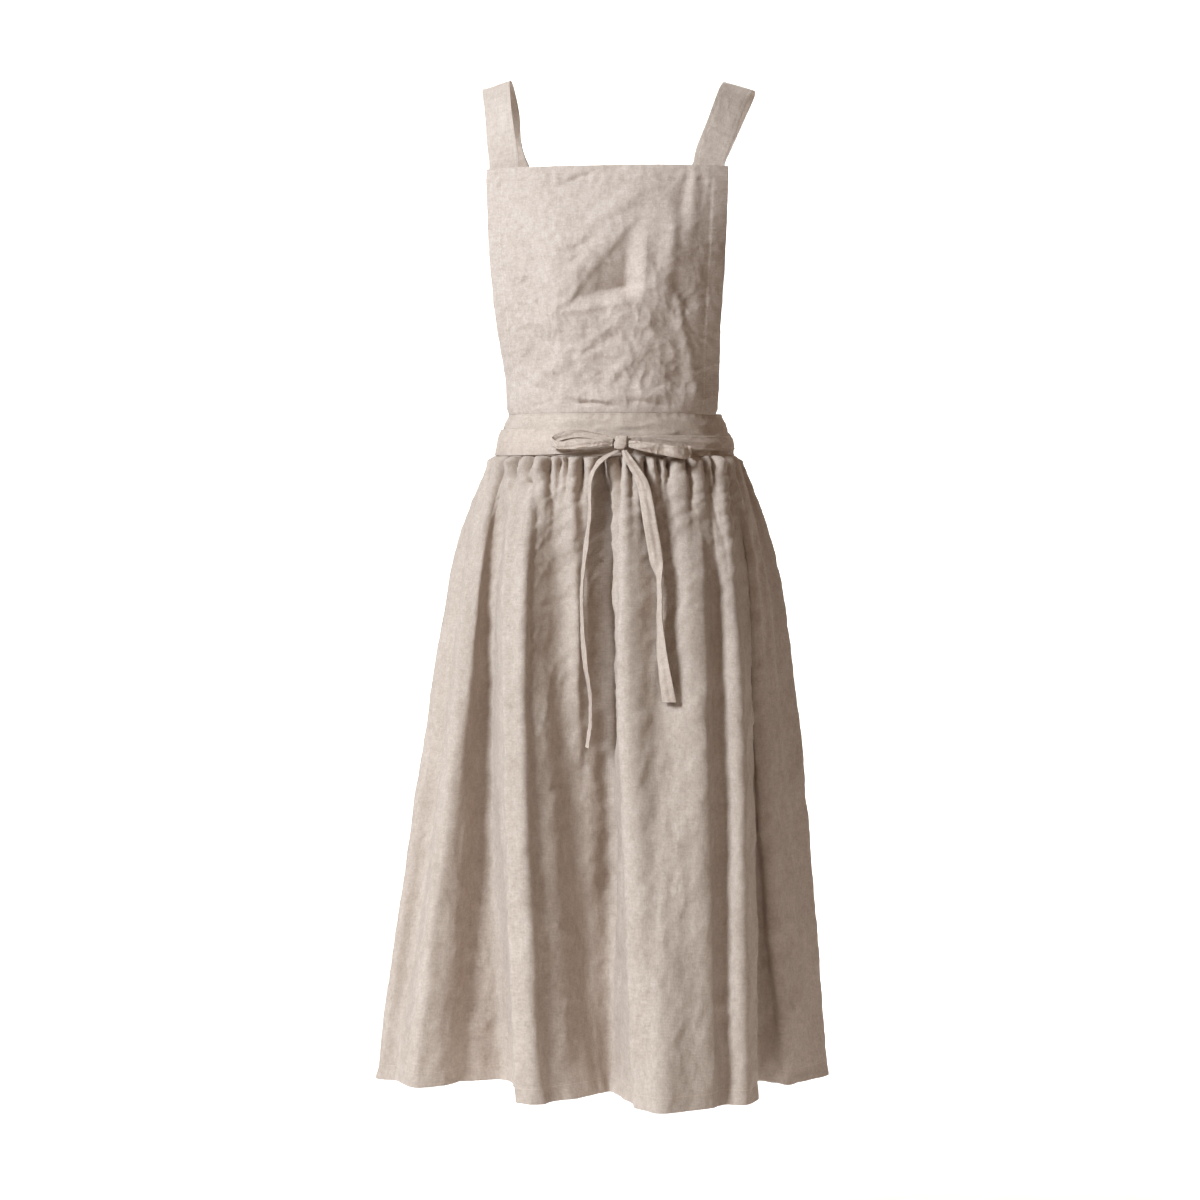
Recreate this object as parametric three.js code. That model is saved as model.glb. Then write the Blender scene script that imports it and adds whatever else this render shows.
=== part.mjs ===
import * as THREE from 'three';

// Cross back apron, in millimetres. X runs across, -Y is the front, Z is up.
// The origin lies midway between the undersides of the two straps at the shoulders.

// Cloth walls
const CLOTH = 1.6;
const HEM_CLOTH = 2.4;
const BAND_CLOTH = 2.2;
const GAP = 0.3;
const SEAM_ROOM = 2.1;

// Bib
const BIB_TOP_WIDTH = 258;
const BIB_HEIGHT = 269;
const BIB_DROP = 88;
const BIB_DEPTH = 118;
const BIB_HEM = 15;
const BIB_INSET = 5;
const BIB_ROUNDING = 2.6;
const BIB_BLEND = 0.6;
const DENT_DEPTH = 4.5;
const DENT_FADE = 0.9;

// Waistband
const WAIST_WIDTH = 236;
const WAIST_DEPTH = 188;
const WAISTBAND_HEIGHT = 45;
const WAISTBAND_FLARE = 12;
const FRONT_FLARE_SHARE = 0.5;
const BACK_GAP = 60;

// Skirt
const SKIRT_LENGTH = 685.4;
const MIDDLE_WIDTH = 412;
const HEM_WIDTH = 498;
const FOLD_DEPTH = 120;
const UPPER_FLARE = 4.3;
const UPPER_POWER = 0.9;
const LOWER_START = 0.25;
const LOWER_POWER = 1.35;
const SKIRT_HEM = 22;
const GATHERS = 44;
const GATHER_DEPTH = 5;
const GATHER_LENGTH = 62;
const GATHER_RISE = 9;
const GATHER_SWAY = 0.25;
const GATHER_DRIFT = 0.2;

// Straps
const STRAP_WIDTH = 33;
const STRAP_SPREAD = 130;
const STRAP_BASE = 112;
const STRAP_CLOTH = 2.4;
const BACK_DEPTH = 110;
const STRAP_SEAM = 15;
const CROSS_ROOM = 1.6;
const STRAP_BACK_SEAT = 58;
const CHEST_TURN = 0.25;
const WAIST_TURN = 0.63;
const SHOULDER_TURN = 150;
const SHOULDER_START = 0.08;
const SHOULDER_FULL = 0.3;
const SHOULDER_EASE = 0.36;
const SHOULDER_END = 0.62;
const BACK_TURN_START = 0.8;
const BACK_TURN_END = 0.95;
const SEAT_TURN = 2;

// Ties and bow
const TIE_WIDTH = 28;
const TIE_CLOTH = 1.6;
const KNOT_WIDTH = 15;
const KNOT_HEIGHT = 16;
const KNOT_DEPTH = 10;
const KNOT_X = 20;
const KNOT_RISE = 0.31;
const KNOT_LEAN = 0.15;
const KNOT_SQUARE = 0.45;
const LOOP_LENGTH = 66;
const LOOP_DEPTH = 9;
const LOOP_BAND = 14;
const LOOP_STAND = 0.2;
const LEFT_TAIL_LENGTH = 314;
const RIGHT_TAIL_LENGTH = 263;
const TAIL_WIDTH = 16;
const TAIL_SPREAD = 53;
const TAIL_CLEARANCE = 2.5;
const TAIL_START = 0.03;

// Derived heights
const BIB_TOP = -BIB_DROP;
const WAIST_TOP = BIB_TOP - BIB_HEIGHT - GAP;
const WAIST_BOTTOM = WAIST_TOP - WAISTBAND_HEIGHT;
const SKIRT_TOP = WAIST_BOTTOM - GAP;
const DEGREE = Math.PI / 180;

// Bib sections from the top hem to the waist. width: share of the way from top to bottom width,
// edge and centre: how far the side edges and the middle stand forward, as shares of BIB_DEPTH.
const BIB_SECTIONS = [
  { down: 0, width: 0, edge: 0.57, centre: 0.78 },
  { down: 0.13, width: 0.05, edge: 0.575, centre: 0.87 },
  { down: 0.38, width: 0.24, edge: 0.56, centre: 1 },
  { down: 0.7, width: 0.68, edge: 0.46, centre: 0.9 },
  { down: 1, width: 1, edge: 0.26, centre: 0.82 },
];

// Dents and creases of the bib. across: share of half the width, down: share of the height,
// wide and tall: half sizes as the same shares, lean: degrees, out: share of DENT_DEPTH outward.
const BIB_DENTS = [
  { across: -0.06, down: 0.3, wide: 0.2, tall: 0.11, lean: 32, out: -1 },
  { across: 0.04, down: 0.2, wide: 0.34, tall: 0.035, lean: 36, out: 0.67 },
  { across: 0.12, down: 0.33, wide: 0.06, tall: 0.13, lean: 4, out: 0.58 },
  { across: 0.62, down: 0.13, wide: 0.06, tall: 0.16, lean: -4, out: -0.7 },
  { across: 0.74, down: 0.14, wide: 0.05, tall: 0.15, lean: -3, out: 0.53 },
  { across: -0.2, down: 0.05, wide: 0.16, tall: 0.03, lean: -10, out: -0.5 },
  { across: 0, down: 0.93, wide: 0.8, tall: 0.03, lean: 0, out: 0.45 },
];

// Lines of the hanging folds, from the left back edge round the front to the right back edge.
// waist: degrees round the waist from the front, midX and hemX: shares of half the width there,
// midY and hemY: shares of FOLD_DEPTH, negative forward.
const FOLDS = [
  { name: 'edgeLeft', waist: -165, midX: -0.16, midY: 0.93, hemX: -0.18, hemY: 0.98 },
  { name: 'backCrestLeft', waist: -156, midX: -0.29, midY: 1.06, hemX: -0.33, hemY: 1.16 },
  { name: 'backValleyLeft', waist: -145, midX: -0.46, midY: 0.78, hemX: -0.48, hemY: 0.8 },
  { name: 'backFoldLeft', waist: -132, midX: -0.66, midY: 0.9, hemX: -0.67, hemY: 0.98 },
  { name: 'sideValleyLeft', waist: -119, midX: -0.77, midY: 0.52, hemX: -0.79, hemY: 0.53 },
  { name: 'sideFoldLeft', waist: -105, midX: -0.95, midY: 0.36, hemX: -0.96, hemY: 0.36 },
  { name: 'sideLeft', waist: -91, midX: -1, midY: -0.16, hemX: -1.05, hemY: -0.18 },
  { name: 'sideLeftIn', waist: -77, midX: -0.87, midY: -0.42, hemX: -0.96, hemY: -0.27 },
  { name: 'ridgeA', waist: -62, midX: -0.74, midY: -0.7, hemX: -0.79, hemY: -0.49 },
  { name: 'valleyAB', waist: -48, midX: -0.65, midY: -0.54, hemX: -0.48, hemY: -0.09 },
  { name: 'foldB', waist: -36, midX: -0.43, midY: -1.1, hemX: -0.31, hemY: -1.02 },
  { name: 'recess', waist: -22, midX: -0.22, midY: -0.79, hemX: -0.09, hemY: -0.67 },
  { name: 'ridgeC', waist: -11, midX: -0.11, midY: -0.67, hemX: -0.03, hemY: -0.52 },
  { name: 'valleyCD', waist: 0, midX: 0.03, midY: -0.53, hemX: 0.03, hemY: -0.47 },
  { name: 'foldD', waist: 10, midX: 0.13, midY: -1.05, hemX: 0.17, hemY: -1 },
  { name: 'frontDE', waist: 23, midX: 0.32, midY: -0.92, hemX: 0.28, hemY: -1.21 },
  { name: 'crestE', waist: 37, midX: 0.51, midY: -0.9, hemX: 0.42, hemY: -1.01 },
  { name: 'valleyEF', waist: 50, midX: 0.62, midY: -0.73, hemX: 0.52, hemY: -0.83 },
  { name: 'foldF', waist: 60, midX: 0.73, midY: -0.75, hemX: 0.63, hemY: -0.71 },
  { name: 'behindF', waist: 69, midX: 0.75, midY: -0.33, hemX: 0.61, hemY: 0.14 },
  { name: 'ridgeG', waist: 78, midX: 0.83, midY: -0.32, hemX: 0.76, hemY: 0.1 },
  { name: 'sideRightIn', waist: 87, midX: 0.89, midY: 0, hemX: 0.84, hemY: 0.25 },
  { name: 'sideRight', waist: 97, midX: 0.98, midY: 0.31, hemX: 0.92, hemY: 0.52 },
  { name: 'sideValleyRight', waist: 110, midX: 0.8, midY: 0.5, hemX: 0.8, hemY: 0.66 },
  { name: 'sideFoldRight', waist: 123, midX: 0.76, midY: 0.88, hemX: 0.76, hemY: 1.02 },
  { name: 'backValleyRight', waist: 138, midX: 0.52, midY: 0.78, hemX: 0.54, hemY: 0.86 },
  { name: 'backCrestRight', waist: 152, midX: 0.34, midY: 1.06, hemX: 0.36, hemY: 1.17 },
  { name: 'edgeRight', waist: 165, midX: 0.16, midY: 0.93, hemX: 0.18, hemY: 0.98 },
];

// Rows of the skirt mesh below the waist, as shares of GATHER_LENGTH and then of SKIRT_LENGTH.
const GATHER_ROWS = [0, 0.1, 0.27, 0.55, 0.94, 1.55];
const FOLD_ROWS = [0.21, 0.3, 0.45, 0.6, 0.75, 0.88];

// Straps from the front seam to the back seam. across: share of STRAP_SPREAD, depth: share of
// BACK_DEPTH, drop: share of BIB_DROP on the chest and of the whole back drop after the shoulder.
const STRAP_FRONT = [
  { across: 0.895, depth: -0.54, drop: 0.62 },
  { across: 0.94, depth: -0.38, drop: 0.25 },
  { across: 0.98, depth: -0.17, drop: 0.05 },
  { across: 1, depth: 0.03, drop: 0 },
];
const STRAP_BACK_LEFT = [
  { across: 1.005, depth: 0.2, drop: 0.012 },
  { across: 1, depth: 0.46, drop: 0.075 },
  { across: 0.965, depth: 0.72, drop: 0.19 },
  { across: 0.72, depth: 0.9, drop: 0.36 },
  { across: 0.37, depth: 0.98, drop: 0.52 },
  { across: 0, depth: 1, drop: 0.68 },
  { across: -0.23, depth: 0.93, drop: 0.81 },
  { across: -0.35, depth: 0.82, drop: 0.9 },
];
const STRAP_BACK_RIGHT = [
  { across: 0.985, depth: 0.2, drop: 0.012 },
  { across: 0.905, depth: 0.46, drop: 0.075 },
  { across: 0.76, depth: 0.72, drop: 0.19 },
  { across: 0.51, depth: 0.9, drop: 0.36 },
  { across: 0.255, depth: 0.98, drop: 0.52 },
  { across: 0, depth: 1, drop: 0.68 },
  { across: -0.23, depth: 0.93, drop: 0.81 },
  { across: -0.35, depth: 0.82, drop: 0.9 },
];

// Heights on the back, as shares of the back drop, between which the upper strap is lifted over the lower.
const LIFT_START = 0.45;
const LIFT_FULL = 0.6;
const LIFT_EASE = 0.75;
const LIFT_END = 0.95;

// Ties round the waist. angle: degrees from the front, rise: middle height as a share of the
// waistband, tall: share of the tie width.
const LEFT_TIE = [
  { angle: 154, rise: 0.3, tall: 0.5 },
  { angle: 166, rise: 0.3, tall: 0.5 },
  { angle: 194, rise: 0.29, tall: 0.5 },
  { angle: 206, rise: 0.3, tall: 0.52 },
  { angle: 232, rise: 0.335, tall: 0.95 },
  { angle: 270, rise: 0.325, tall: 1 },
  { angle: 318, rise: 0.325, tall: 1 },
  { angle: 342, rise: 0.33, tall: 0.9 },
  { angle: 356, rise: 0.32, tall: 0.6 },
  { angle: 365, rise: 0.31, tall: 0.36 },
];
const RIGHT_TIE = [
  { angle: -154, rise: 0.73, tall: 0.5 },
  { angle: -166, rise: 0.73, tall: 0.5 },
  { angle: -194, rise: 0.74, tall: 0.5 },
  { angle: -206, rise: 0.7, tall: 0.5 },
  { angle: -236, rise: 0.5, tall: 0.56 },
  { angle: -270, rise: 0.33, tall: 0.57 },
  { angle: -300, rise: 0.3, tall: 0.57 },
  { angle: -330, rise: 0.32, tall: 0.52 },
  { angle: -347, rise: 0.32, tall: 0.4 },
];

// Bow loops, away from the knot and back. reach: share of LOOP_LENGTH, out: share of LOOP_DEPTH,
// rise: share of the band width, tall: share of the band width.
const LEFT_LOOP = [
  { reach: 0, out: 0, rise: 0.1, tall: 0.55 },
  { reach: 0.2, out: -0.1, rise: 0.3, tall: 0.85 },
  { reach: 0.55, out: -0.05, rise: 0.42, tall: 1 },
  { reach: 0.88, out: 0.05, rise: 0.2, tall: 0.9 },
  { reach: 1, out: 0.5, rise: -0.02, tall: 0.72 },
  { reach: 0.9, out: 0.95, rise: -0.12, tall: 0.78 },
  { reach: 0.55, out: 1.05, rise: -0.1, tall: 0.9 },
  { reach: 0.22, out: 0.9, rise: -0.05, tall: 0.75 },
  { reach: 0.01, out: 0.45, rise: 0, tall: 0.5 },
];
const RIGHT_LOOP = [
  { reach: 0, out: 0, rise: 0.1, tall: 0.5 },
  { reach: 0.22, out: -0.1, rise: 0, tall: 0.8 },
  { reach: 0.55, out: 0.05, rise: -0.25, tall: 0.95 },
  { reach: 0.86, out: 0.15, rise: -0.55, tall: 1.05 },
  { reach: 0.98, out: 0.55, rise: -0.7, tall: 1.05 },
  { reach: 0.86, out: 0.95, rise: -0.75, tall: 1 },
  { reach: 0.5, out: 1.1, rise: -0.5, tall: 0.85 },
  { reach: 0.2, out: 0.95, rise: -0.25, tall: 0.7 },
  { reach: 0.01, out: 0.45, rise: -0.1, tall: 0.5 },
];

// Hanging tails. down: share of the tail's length, side: share of TAIL_SPREAD from the knot,
// turn: degrees that the band is turned from facing the front, wide: share of TAIL_WIDTH.
const LEFT_TAIL = [
  { down: 0, side: -0.075, turn: 8, wide: 0.4 },
  { down: 0.03, side: -0.377, turn: 24, wide: 0.55 },
  { down: 0.09, side: -0.585, turn: 60, wide: 0.75 },
  { down: 0.22, side: -0.642, turn: 68, wide: 0.85 },
  { down: 0.36, side: -0.755, turn: 64, wide: 0.9 },
  { down: 0.5, side: -0.811, turn: 70, wide: 0.8 },
  { down: 0.7, side: -0.755, turn: 62, wide: 0.9 },
  { down: 0.85, side: -0.66, turn: 68, wide: 0.8 },
  { down: 1, side: -0.698, turn: 66, wide: 0.75 },
];
const RIGHT_TAIL = [
  { down: 0, side: 0.075, turn: 10, wide: 0.4 },
  { down: 0.05, side: 0.226, turn: 12, wide: 0.65 },
  { down: 0.13, side: 0.453, turn: 6, wide: 0.8 },
  { down: 0.3, side: 0.623, turn: 0, wide: 0.9 },
  { down: 0.46, side: 0.755, turn: 8, wide: 0.9 },
  { down: 0.52, side: 0.792, turn: 55, wide: 0.8 },
  { down: 0.7, side: 0.811, turn: 52, wide: 0.75 },
  { down: 0.82, side: 0.868, turn: 30, wide: 0.85 },
  { down: 1, side: 1, turn: 8, wide: 0.95 },
];

const mix = (a, b, share) => a + (b - a) * share;

function smooth(from, to, x) {
  const share = Math.min(1, Math.max(0, (x - from) / (to - from)));
  return share * share * (3 - 2 * share);
}

// A smooth curve through one column of a table, whose rows stand at the given places.
function along(places, values, x) {
  const last = places.length - 1;
  let i = 0;
  while (i < last - 1 && x > places[i + 1]) {
    i += 1;
  }
  const slope = (k) => {
    const low = Math.max(0, k - 1);
    const high = Math.min(last, k + 1);
    return (values[high] - values[low]) / (places[high] - places[low]);
  };
  const span = places[i + 1] - places[i];
  const s = (x - places[i]) / span;
  const rise = (values[i + 1] - values[i]);
  const start = slope(i) * span;
  const end = slope(i + 1) * span;
  return values[i] + s * start + s * s * (3 * rise - 2 * start - end) + s * s * s * (start + end - 2 * rise);
}

const column = (table, key) => table.map((row) => row[key]);

// A closed wall of cloth from a grid of points on its outer face. Rows that are level keep a flat edge.
function clothWall(points, thickness, isLevel = () => false) {
  const columns = points.length;
  const rows = points[0].length;
  const clampColumn = (i) => Math.min(columns - 1, Math.max(0, i));
  const clampRow = (j) => Math.min(rows - 1, Math.max(0, j));
  const outer = [];
  const inner = [];
  for (let i = 0; i < columns; i += 1) {
    for (let j = 0; j < rows; j += 1) {
      const across = points[clampColumn(i + 1)][j].clone().sub(points[clampColumn(i - 1)][j]);
      const down = points[i][clampRow(j + 1)].clone().sub(points[i][clampRow(j - 1)]);
      const normal = down.cross(across).normalize();
      if (isLevel(j)) {
        normal.setZ(0).normalize();
      }
      const point = points[i][j];
      outer.push(point);
      inner.push(point.clone().addScaledVector(normal, -thickness(i, j)));
    }
  }
  const positions = [];
  outer.concat(inner).forEach((point) => positions.push(point.x, point.y, point.z));
  const inside = outer.length;
  const at = (i, j) => i * rows + j;
  const faces = [];
  const quad = (a, b, c, d) => faces.push(a, b, c, a, c, d);
  for (let i = 0; i < columns - 1; i += 1) {
    for (let j = 0; j < rows - 1; j += 1) {
      quad(at(i, j), at(i, j + 1), at(i + 1, j + 1), at(i + 1, j));
      quad(inside + at(i, j), inside + at(i + 1, j), inside + at(i + 1, j + 1), inside + at(i, j + 1));
    }
    quad(at(i, 0), at(i + 1, 0), inside + at(i + 1, 0), inside + at(i, 0));
    const end = rows - 1;
    quad(at(i, end), inside + at(i, end), inside + at(i + 1, end), at(i + 1, end));
  }
  for (let j = 0; j < rows - 1; j += 1) {
    const end = columns - 1;
    quad(at(0, j), inside + at(0, j), inside + at(0, j + 1), at(0, j + 1));
    quad(at(end, j), at(end, j + 1), inside + at(end, j + 1), inside + at(end, j));
  }
  const geometry = new THREE.BufferGeometry();
  geometry.setAttribute('position', new THREE.Float32BufferAttribute(positions, 3));
  geometry.setIndex(faces);
  geometry.computeVertexNormals();
  return geometry;
}

function clothMesh(name, geometry, color, roughness) {
  const material = new THREE.MeshStandardMaterial({ color, roughness, metalness: 0 });
  const mesh = new THREE.Mesh(geometry, material);
  mesh.name = name;
  return mesh;
}

// The waist ring at an angle from the front and a height, moved outward by a distance.
function waistPoint(angle, z, out) {
  const share = (WAIST_TOP - z) / WAISTBAND_HEIGHT;
  const flare = WAISTBAND_FLARE * share;
  const halfWidth = WAIST_WIDTH / 2 + flare + out;
  const halfDepth = WAIST_DEPTH / 2 + FRONT_FLARE_SHARE * flare + out;
  const turn = angle * DEGREE;
  return new THREE.Vector3(halfWidth * Math.sin(turn), -halfDepth * Math.cos(turn), z);
}

// Bib
const bibDown = column(BIB_SECTIONS, 'down');
const bibBottomWidth = WAIST_WIDTH - 2 * BIB_INSET;
function bibPoint(across, down) {
  const z = BIB_TOP - BIB_HEIGHT * down;
  const width = mix(BIB_TOP_WIDTH, bibBottomWidth, along(bibDown, column(BIB_SECTIONS, 'width'), down));
  const x = across * width / 2;
  const edge = along(bibDown, column(BIB_SECTIONS, 'edge'), down) * BIB_DEPTH;
  const centre = along(bibDown, column(BIB_SECTIONS, 'centre'), down) * BIB_DEPTH;
  const round = 1 - Math.abs(across) ** BIB_ROUNDING;
  const chest = -mix(edge, centre, round);
  const sine = Math.min(0.999, Math.abs(x) / (WAIST_WIDTH / 2));
  const waist = -WAIST_DEPTH / 2 * Math.sqrt(1 - sine * sine);
  let y = mix(chest, waist, smooth(BIB_BLEND, 1, down));
  BIB_DENTS.forEach((dent) => {
    const tilt = dent.lean * DEGREE;
    const dx = across - dent.across;
    const dz = (down - dent.down) * 2 * BIB_HEIGHT / BIB_TOP_WIDTH;
    const u = (dx * Math.cos(tilt) - dz * Math.sin(tilt)) / dent.wide;
    const v = (dx * Math.sin(tilt) + dz * Math.cos(tilt)) / (dent.tall * 2);
    y -= dent.out * DENT_DEPTH * Math.exp(-u * u - v * v) * smooth(1, DENT_FADE, down);
  });
  return new THREE.Vector3(x, y, z);
}

function makeBib() {
  const sideHem = 2 * BIB_HEM / BIB_TOP_WIDTH;
  const across = [-1, -1 + sideHem];
  const steps = 18;
  for (let i = 1; i < steps; i += 1) {
    across.push(mix(-1 + sideHem, 1 - sideHem, i / steps));
  }
  across.push(1 - sideHem, 1);
  const topHem = BIB_HEM / BIB_HEIGHT;
  const down = [0, topHem];
  const rows = 13;
  for (let j = 1; j <= rows; j += 1) {
    down.push(mix(topHem, 1, j / rows));
  }
  const points = across.map((a) => down.map((d) => bibPoint(a, d)));
  const isHem = (i, j) => i < 2 || i > across.length - 3 || j < 2;
  const lastRow = down.length - 1;
  return clothWall(points, (i, j) => (isHem(i, j) ? HEM_CLOTH : CLOTH), (j) => j === lastRow);
}

// Waistband
const backAngle = 180 - Math.asin(BACK_GAP / WAIST_WIDTH) / DEGREE;
function makeWaistband() {
  const points = [];
  const steps = 64;
  for (let i = 0; i <= steps; i += 1) {
    const angle = mix(-backAngle, backAngle, i / steps);
    points.push([WAIST_TOP, WAIST_BOTTOM].map((z) => waistPoint(angle, z, 0)));
  }
  return clothWall(points, () => BAND_CLOTH, () => true);
}

// Skirt
const foldCount = FOLDS.length;
const foldPlace = [0];
for (let i = 1; i < foldCount; i += 1) {
  const before = FOLDS[i - 1];
  const after = FOLDS[i];
  foldPlace.push(foldPlace[i - 1] + after.waist - before.waist);
}
const skirtSpan = foldPlace[foldCount - 1];
const foldWaist = column(FOLDS, 'waist').map((angle) => angle * backAngle / 165);
const foldMidX = column(FOLDS, 'midX');
const foldMidY = column(FOLDS, 'midY');
const foldHemX = column(FOLDS, 'hemX');
const foldHemY = column(FOLDS, 'hemY');

function skirtPoint(place, down) {
  const z = SKIRT_TOP - down;
  const share = down / SKIRT_LENGTH;
  const angle = along(foldPlace, foldWaist, place);
  const waist = waistPoint(angle, WAIST_BOTTOM, 0);
  const middleX = along(foldPlace, foldMidX, place) * MIDDLE_WIDTH / 2;
  const middleY = along(foldPlace, foldMidY, place) * FOLD_DEPTH;
  const hemX = along(foldPlace, foldHemX, place) * HEM_WIDTH / 2;
  const hemY = along(foldPlace, foldHemY, place) * FOLD_DEPTH;
  const flare = (1 - Math.exp(-UPPER_FLARE * share ** UPPER_POWER)) / (1 - Math.exp(-UPPER_FLARE));
  const lower = Math.max(0, (share - LOWER_START) / (1 - LOWER_START)) ** LOWER_POWER;
  const x = mix(waist.x, middleX, flare) + (hemX - middleX) * lower;
  const y = mix(waist.y, middleY, flare) + (hemY - middleY) * lower;
  const point = new THREE.Vector3(x, y, z);
  const phase = place / skirtSpan * GATHERS;
  const uneven = 1 - GATHER_SWAY * (1 - Math.sin(phase * 2.3)) + GATHER_DRIFT * Math.sin(phase * 0.9 + 1);
  const size = GATHER_DEPTH * uneven * Math.exp(-down / GATHER_LENGTH) * smooth(-GATHER_RISE, GATHER_RISE, down);
  const turn = angle * DEGREE;
  const ripple = size * Math.cos(phase * 2 * Math.PI);
  point.x += ripple * Math.sin(turn);
  point.y -= ripple * Math.cos(turn);
  return point;
}

const skirtRows = GATHER_ROWS.map((share) => share * GATHER_LENGTH);
FOLD_ROWS.forEach((share) => skirtRows.push(share * SKIRT_LENGTH));
skirtRows.push(SKIRT_LENGTH - SKIRT_HEM, SKIRT_LENGTH);
const skirtPoints = [];
const skirtColumns = GATHERS * 3;
for (let i = 0; i <= skirtColumns; i += 1) {
  skirtPoints.push(skirtRows.map((down) => skirtPoint(skirtSpan * i / skirtColumns, down)));
}

function makeSkirt() {
  const hemRow = skirtRows.length - 2;
  return clothWall(skirtPoints, (i, j) => (j >= hemRow ? HEM_CLOTH : CLOTH), (j) => j === 0);
}

// How far forward the skirt and waistband reach near a place on the front.
function frontReach(x, z, span) {
  const sine = Math.min(0.98, Math.max(0, Math.abs(x) - span) * 2 / WAIST_WIDTH);
  let reach = waistPoint(Math.asin(sine) / DEGREE, Math.max(z, WAIST_BOTTOM), 0).y;
  if (z > SKIRT_TOP) {
    return reach;
  }
  const down = SKIRT_TOP - z;
  reach *= 1 - smooth(0, TAIL_WIDTH, down);
  const step = skirtSpan / 660;
  for (let place = 0; place <= skirtSpan; place += step) {
    const point = skirtPoint(place, down);
    if (Math.abs(point.x - x) < span) {
      reach = Math.min(reach, point.y);
    }
  }
  return reach;
}

// A flat band of cloth through stations with a centre, a direction across and a width.
function bandWall(stations, width, thickness) {
  const points = stations.map((station) => {
    const half = width * station.wide / 2;
    return [-half, half].map((offset) => station.centre.clone().addScaledVector(station.across, offset));
  });
  return clothWall(points, () => thickness);
}

// Straps
const bibTopPoint = (side, drop) => {
  const across = 2 * side * STRAP_BASE / BIB_TOP_WIDTH;
  const step = 0.05;
  const point = bibPoint(across, drop / BIB_HEIGHT);
  const slope = bibPoint(across + step, drop / BIB_HEIGHT).sub(bibPoint(across - step, drop / BIB_HEIGHT));
  const inward = new THREE.Vector3(-slope.y, slope.x, 0).normalize();
  point.addScaledVector(inward, HEM_CLOTH + SEAM_ROOM);
  point.x *= side;
  return point;
};
const backDrop = -WAIST_TOP;

function strapPath(side, lift, backTable) {
  const path = [bibTopPoint(side, STRAP_SEAM), bibTopPoint(side, 0)];
  STRAP_FRONT.forEach((row) => {
    path.push(new THREE.Vector3(row.across * STRAP_SPREAD, row.depth * BACK_DEPTH, -row.drop * BIB_DROP));
  });
  backTable.forEach((row) => {
    const over = smooth(LIFT_START, LIFT_FULL, row.drop) * smooth(LIFT_END, LIFT_EASE, row.drop) * lift;
    const y = row.depth * BACK_DEPTH + over;
    path.push(new THREE.Vector3(row.across * STRAP_SPREAD, y, -row.drop * backDrop));
  });
  const seat = 180 + Math.asin(2 * STRAP_BACK_SEAT / WAIST_WIDTH) / DEGREE;
  const sewn = -(BAND_CLOTH + SEAM_ROOM);
  path.push(waistPoint(seat - SEAT_TURN, WAIST_TOP + STRAP_SEAM, sewn));
  path.push(waistPoint(seat, WAIST_TOP, sewn));
  path.push(waistPoint(seat + SEAT_TURN / 2, WAIST_TOP - STRAP_SEAM, sewn));
  return path;
}

function makeStrap(side, lift, backTable) {
  const path = strapPath(side, lift, backTable);
  const curve = new THREE.CatmullRomCurve3(path, false, 'centripetal');
  const steps = 44;
  const stations = [];
  for (let i = 0; i <= steps; i += 1) {
    const centre = curve.getPoint(i / steps);
    const tangent = curve.getTangent(i / steps);
    const share = i / steps;
    const outward = new THREE.Vector3(0, centre.y, 0);
    const shoulder = smooth(SHOULDER_START, SHOULDER_FULL, share) * smooth(SHOULDER_END, SHOULDER_EASE, share);
    outward.z = SHOULDER_TURN * shoulder;
    outward.x = centre.x * mix(CHEST_TURN, WAIST_TURN, smooth(BACK_TURN_START, BACK_TURN_END, share));
    const across = tangent.clone().cross(outward).normalize();
    centre.x *= side;
    across.x *= side;
    stations.push({ centre, across: across.multiplyScalar(side), wide: 1 });
  }
  return bandWall(stations, STRAP_WIDTH, STRAP_CLOTH);
}

// Ties round the waist
function makeTie(table, direction) {
  const places = table.map((row) => row.angle * direction);
  const first = places[0];
  const last = places[places.length - 1];
  const steps = 52;
  const points = [];
  for (let i = 0; i <= steps; i += 1) {
    const place = mix(first, last, i / steps);
    const rise = along(places, column(table, 'rise'), place) * WAISTBAND_HEIGHT;
    const half = along(places, column(table, 'tall'), place) * TIE_WIDTH / 2;
    const middle = WAIST_BOTTOM + rise;
    const line = [half, -half].map((offset) => {
      const z = middle + offset * direction;
      return waistPoint(place * direction, z, GAP + TIE_CLOTH);
    });
    points.push(line);
  }
  return clothWall(points, () => TIE_CLOTH);
}

// Bow
const knotZ = WAIST_BOTTOM + KNOT_RISE * WAISTBAND_HEIGHT;
const knotAngle = Math.asin((KNOT_X - KNOT_WIDTH / 3) * 2 / WAIST_WIDTH) / DEGREE;
const knotMiddle = waistPoint(knotAngle, knotZ, GAP + KNOT_DEPTH / 2).y;

function makeKnot() {
  const geometry = new THREE.SphereGeometry(0.5, 14, 10);
  const position = geometry.attributes.position;
  for (let i = 0; i < position.count; i += 1) {
    const point = new THREE.Vector3().fromBufferAttribute(position, i);
    const box = Math.max(Math.abs(point.x), Math.abs(point.y), Math.abs(point.z)) * 2;
    const size = mix(1, 1 / box, KNOT_SQUARE);
    point.multiplyScalar(size);
    point.x *= KNOT_WIDTH;
    point.y *= KNOT_DEPTH;
    point.z *= KNOT_HEIGHT;
    point.x += KNOT_LEAN * point.z;
    position.setXYZ(i, point.x + KNOT_X, point.y + knotMiddle, point.z + knotZ);
  }
  return geometry;
}

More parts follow.
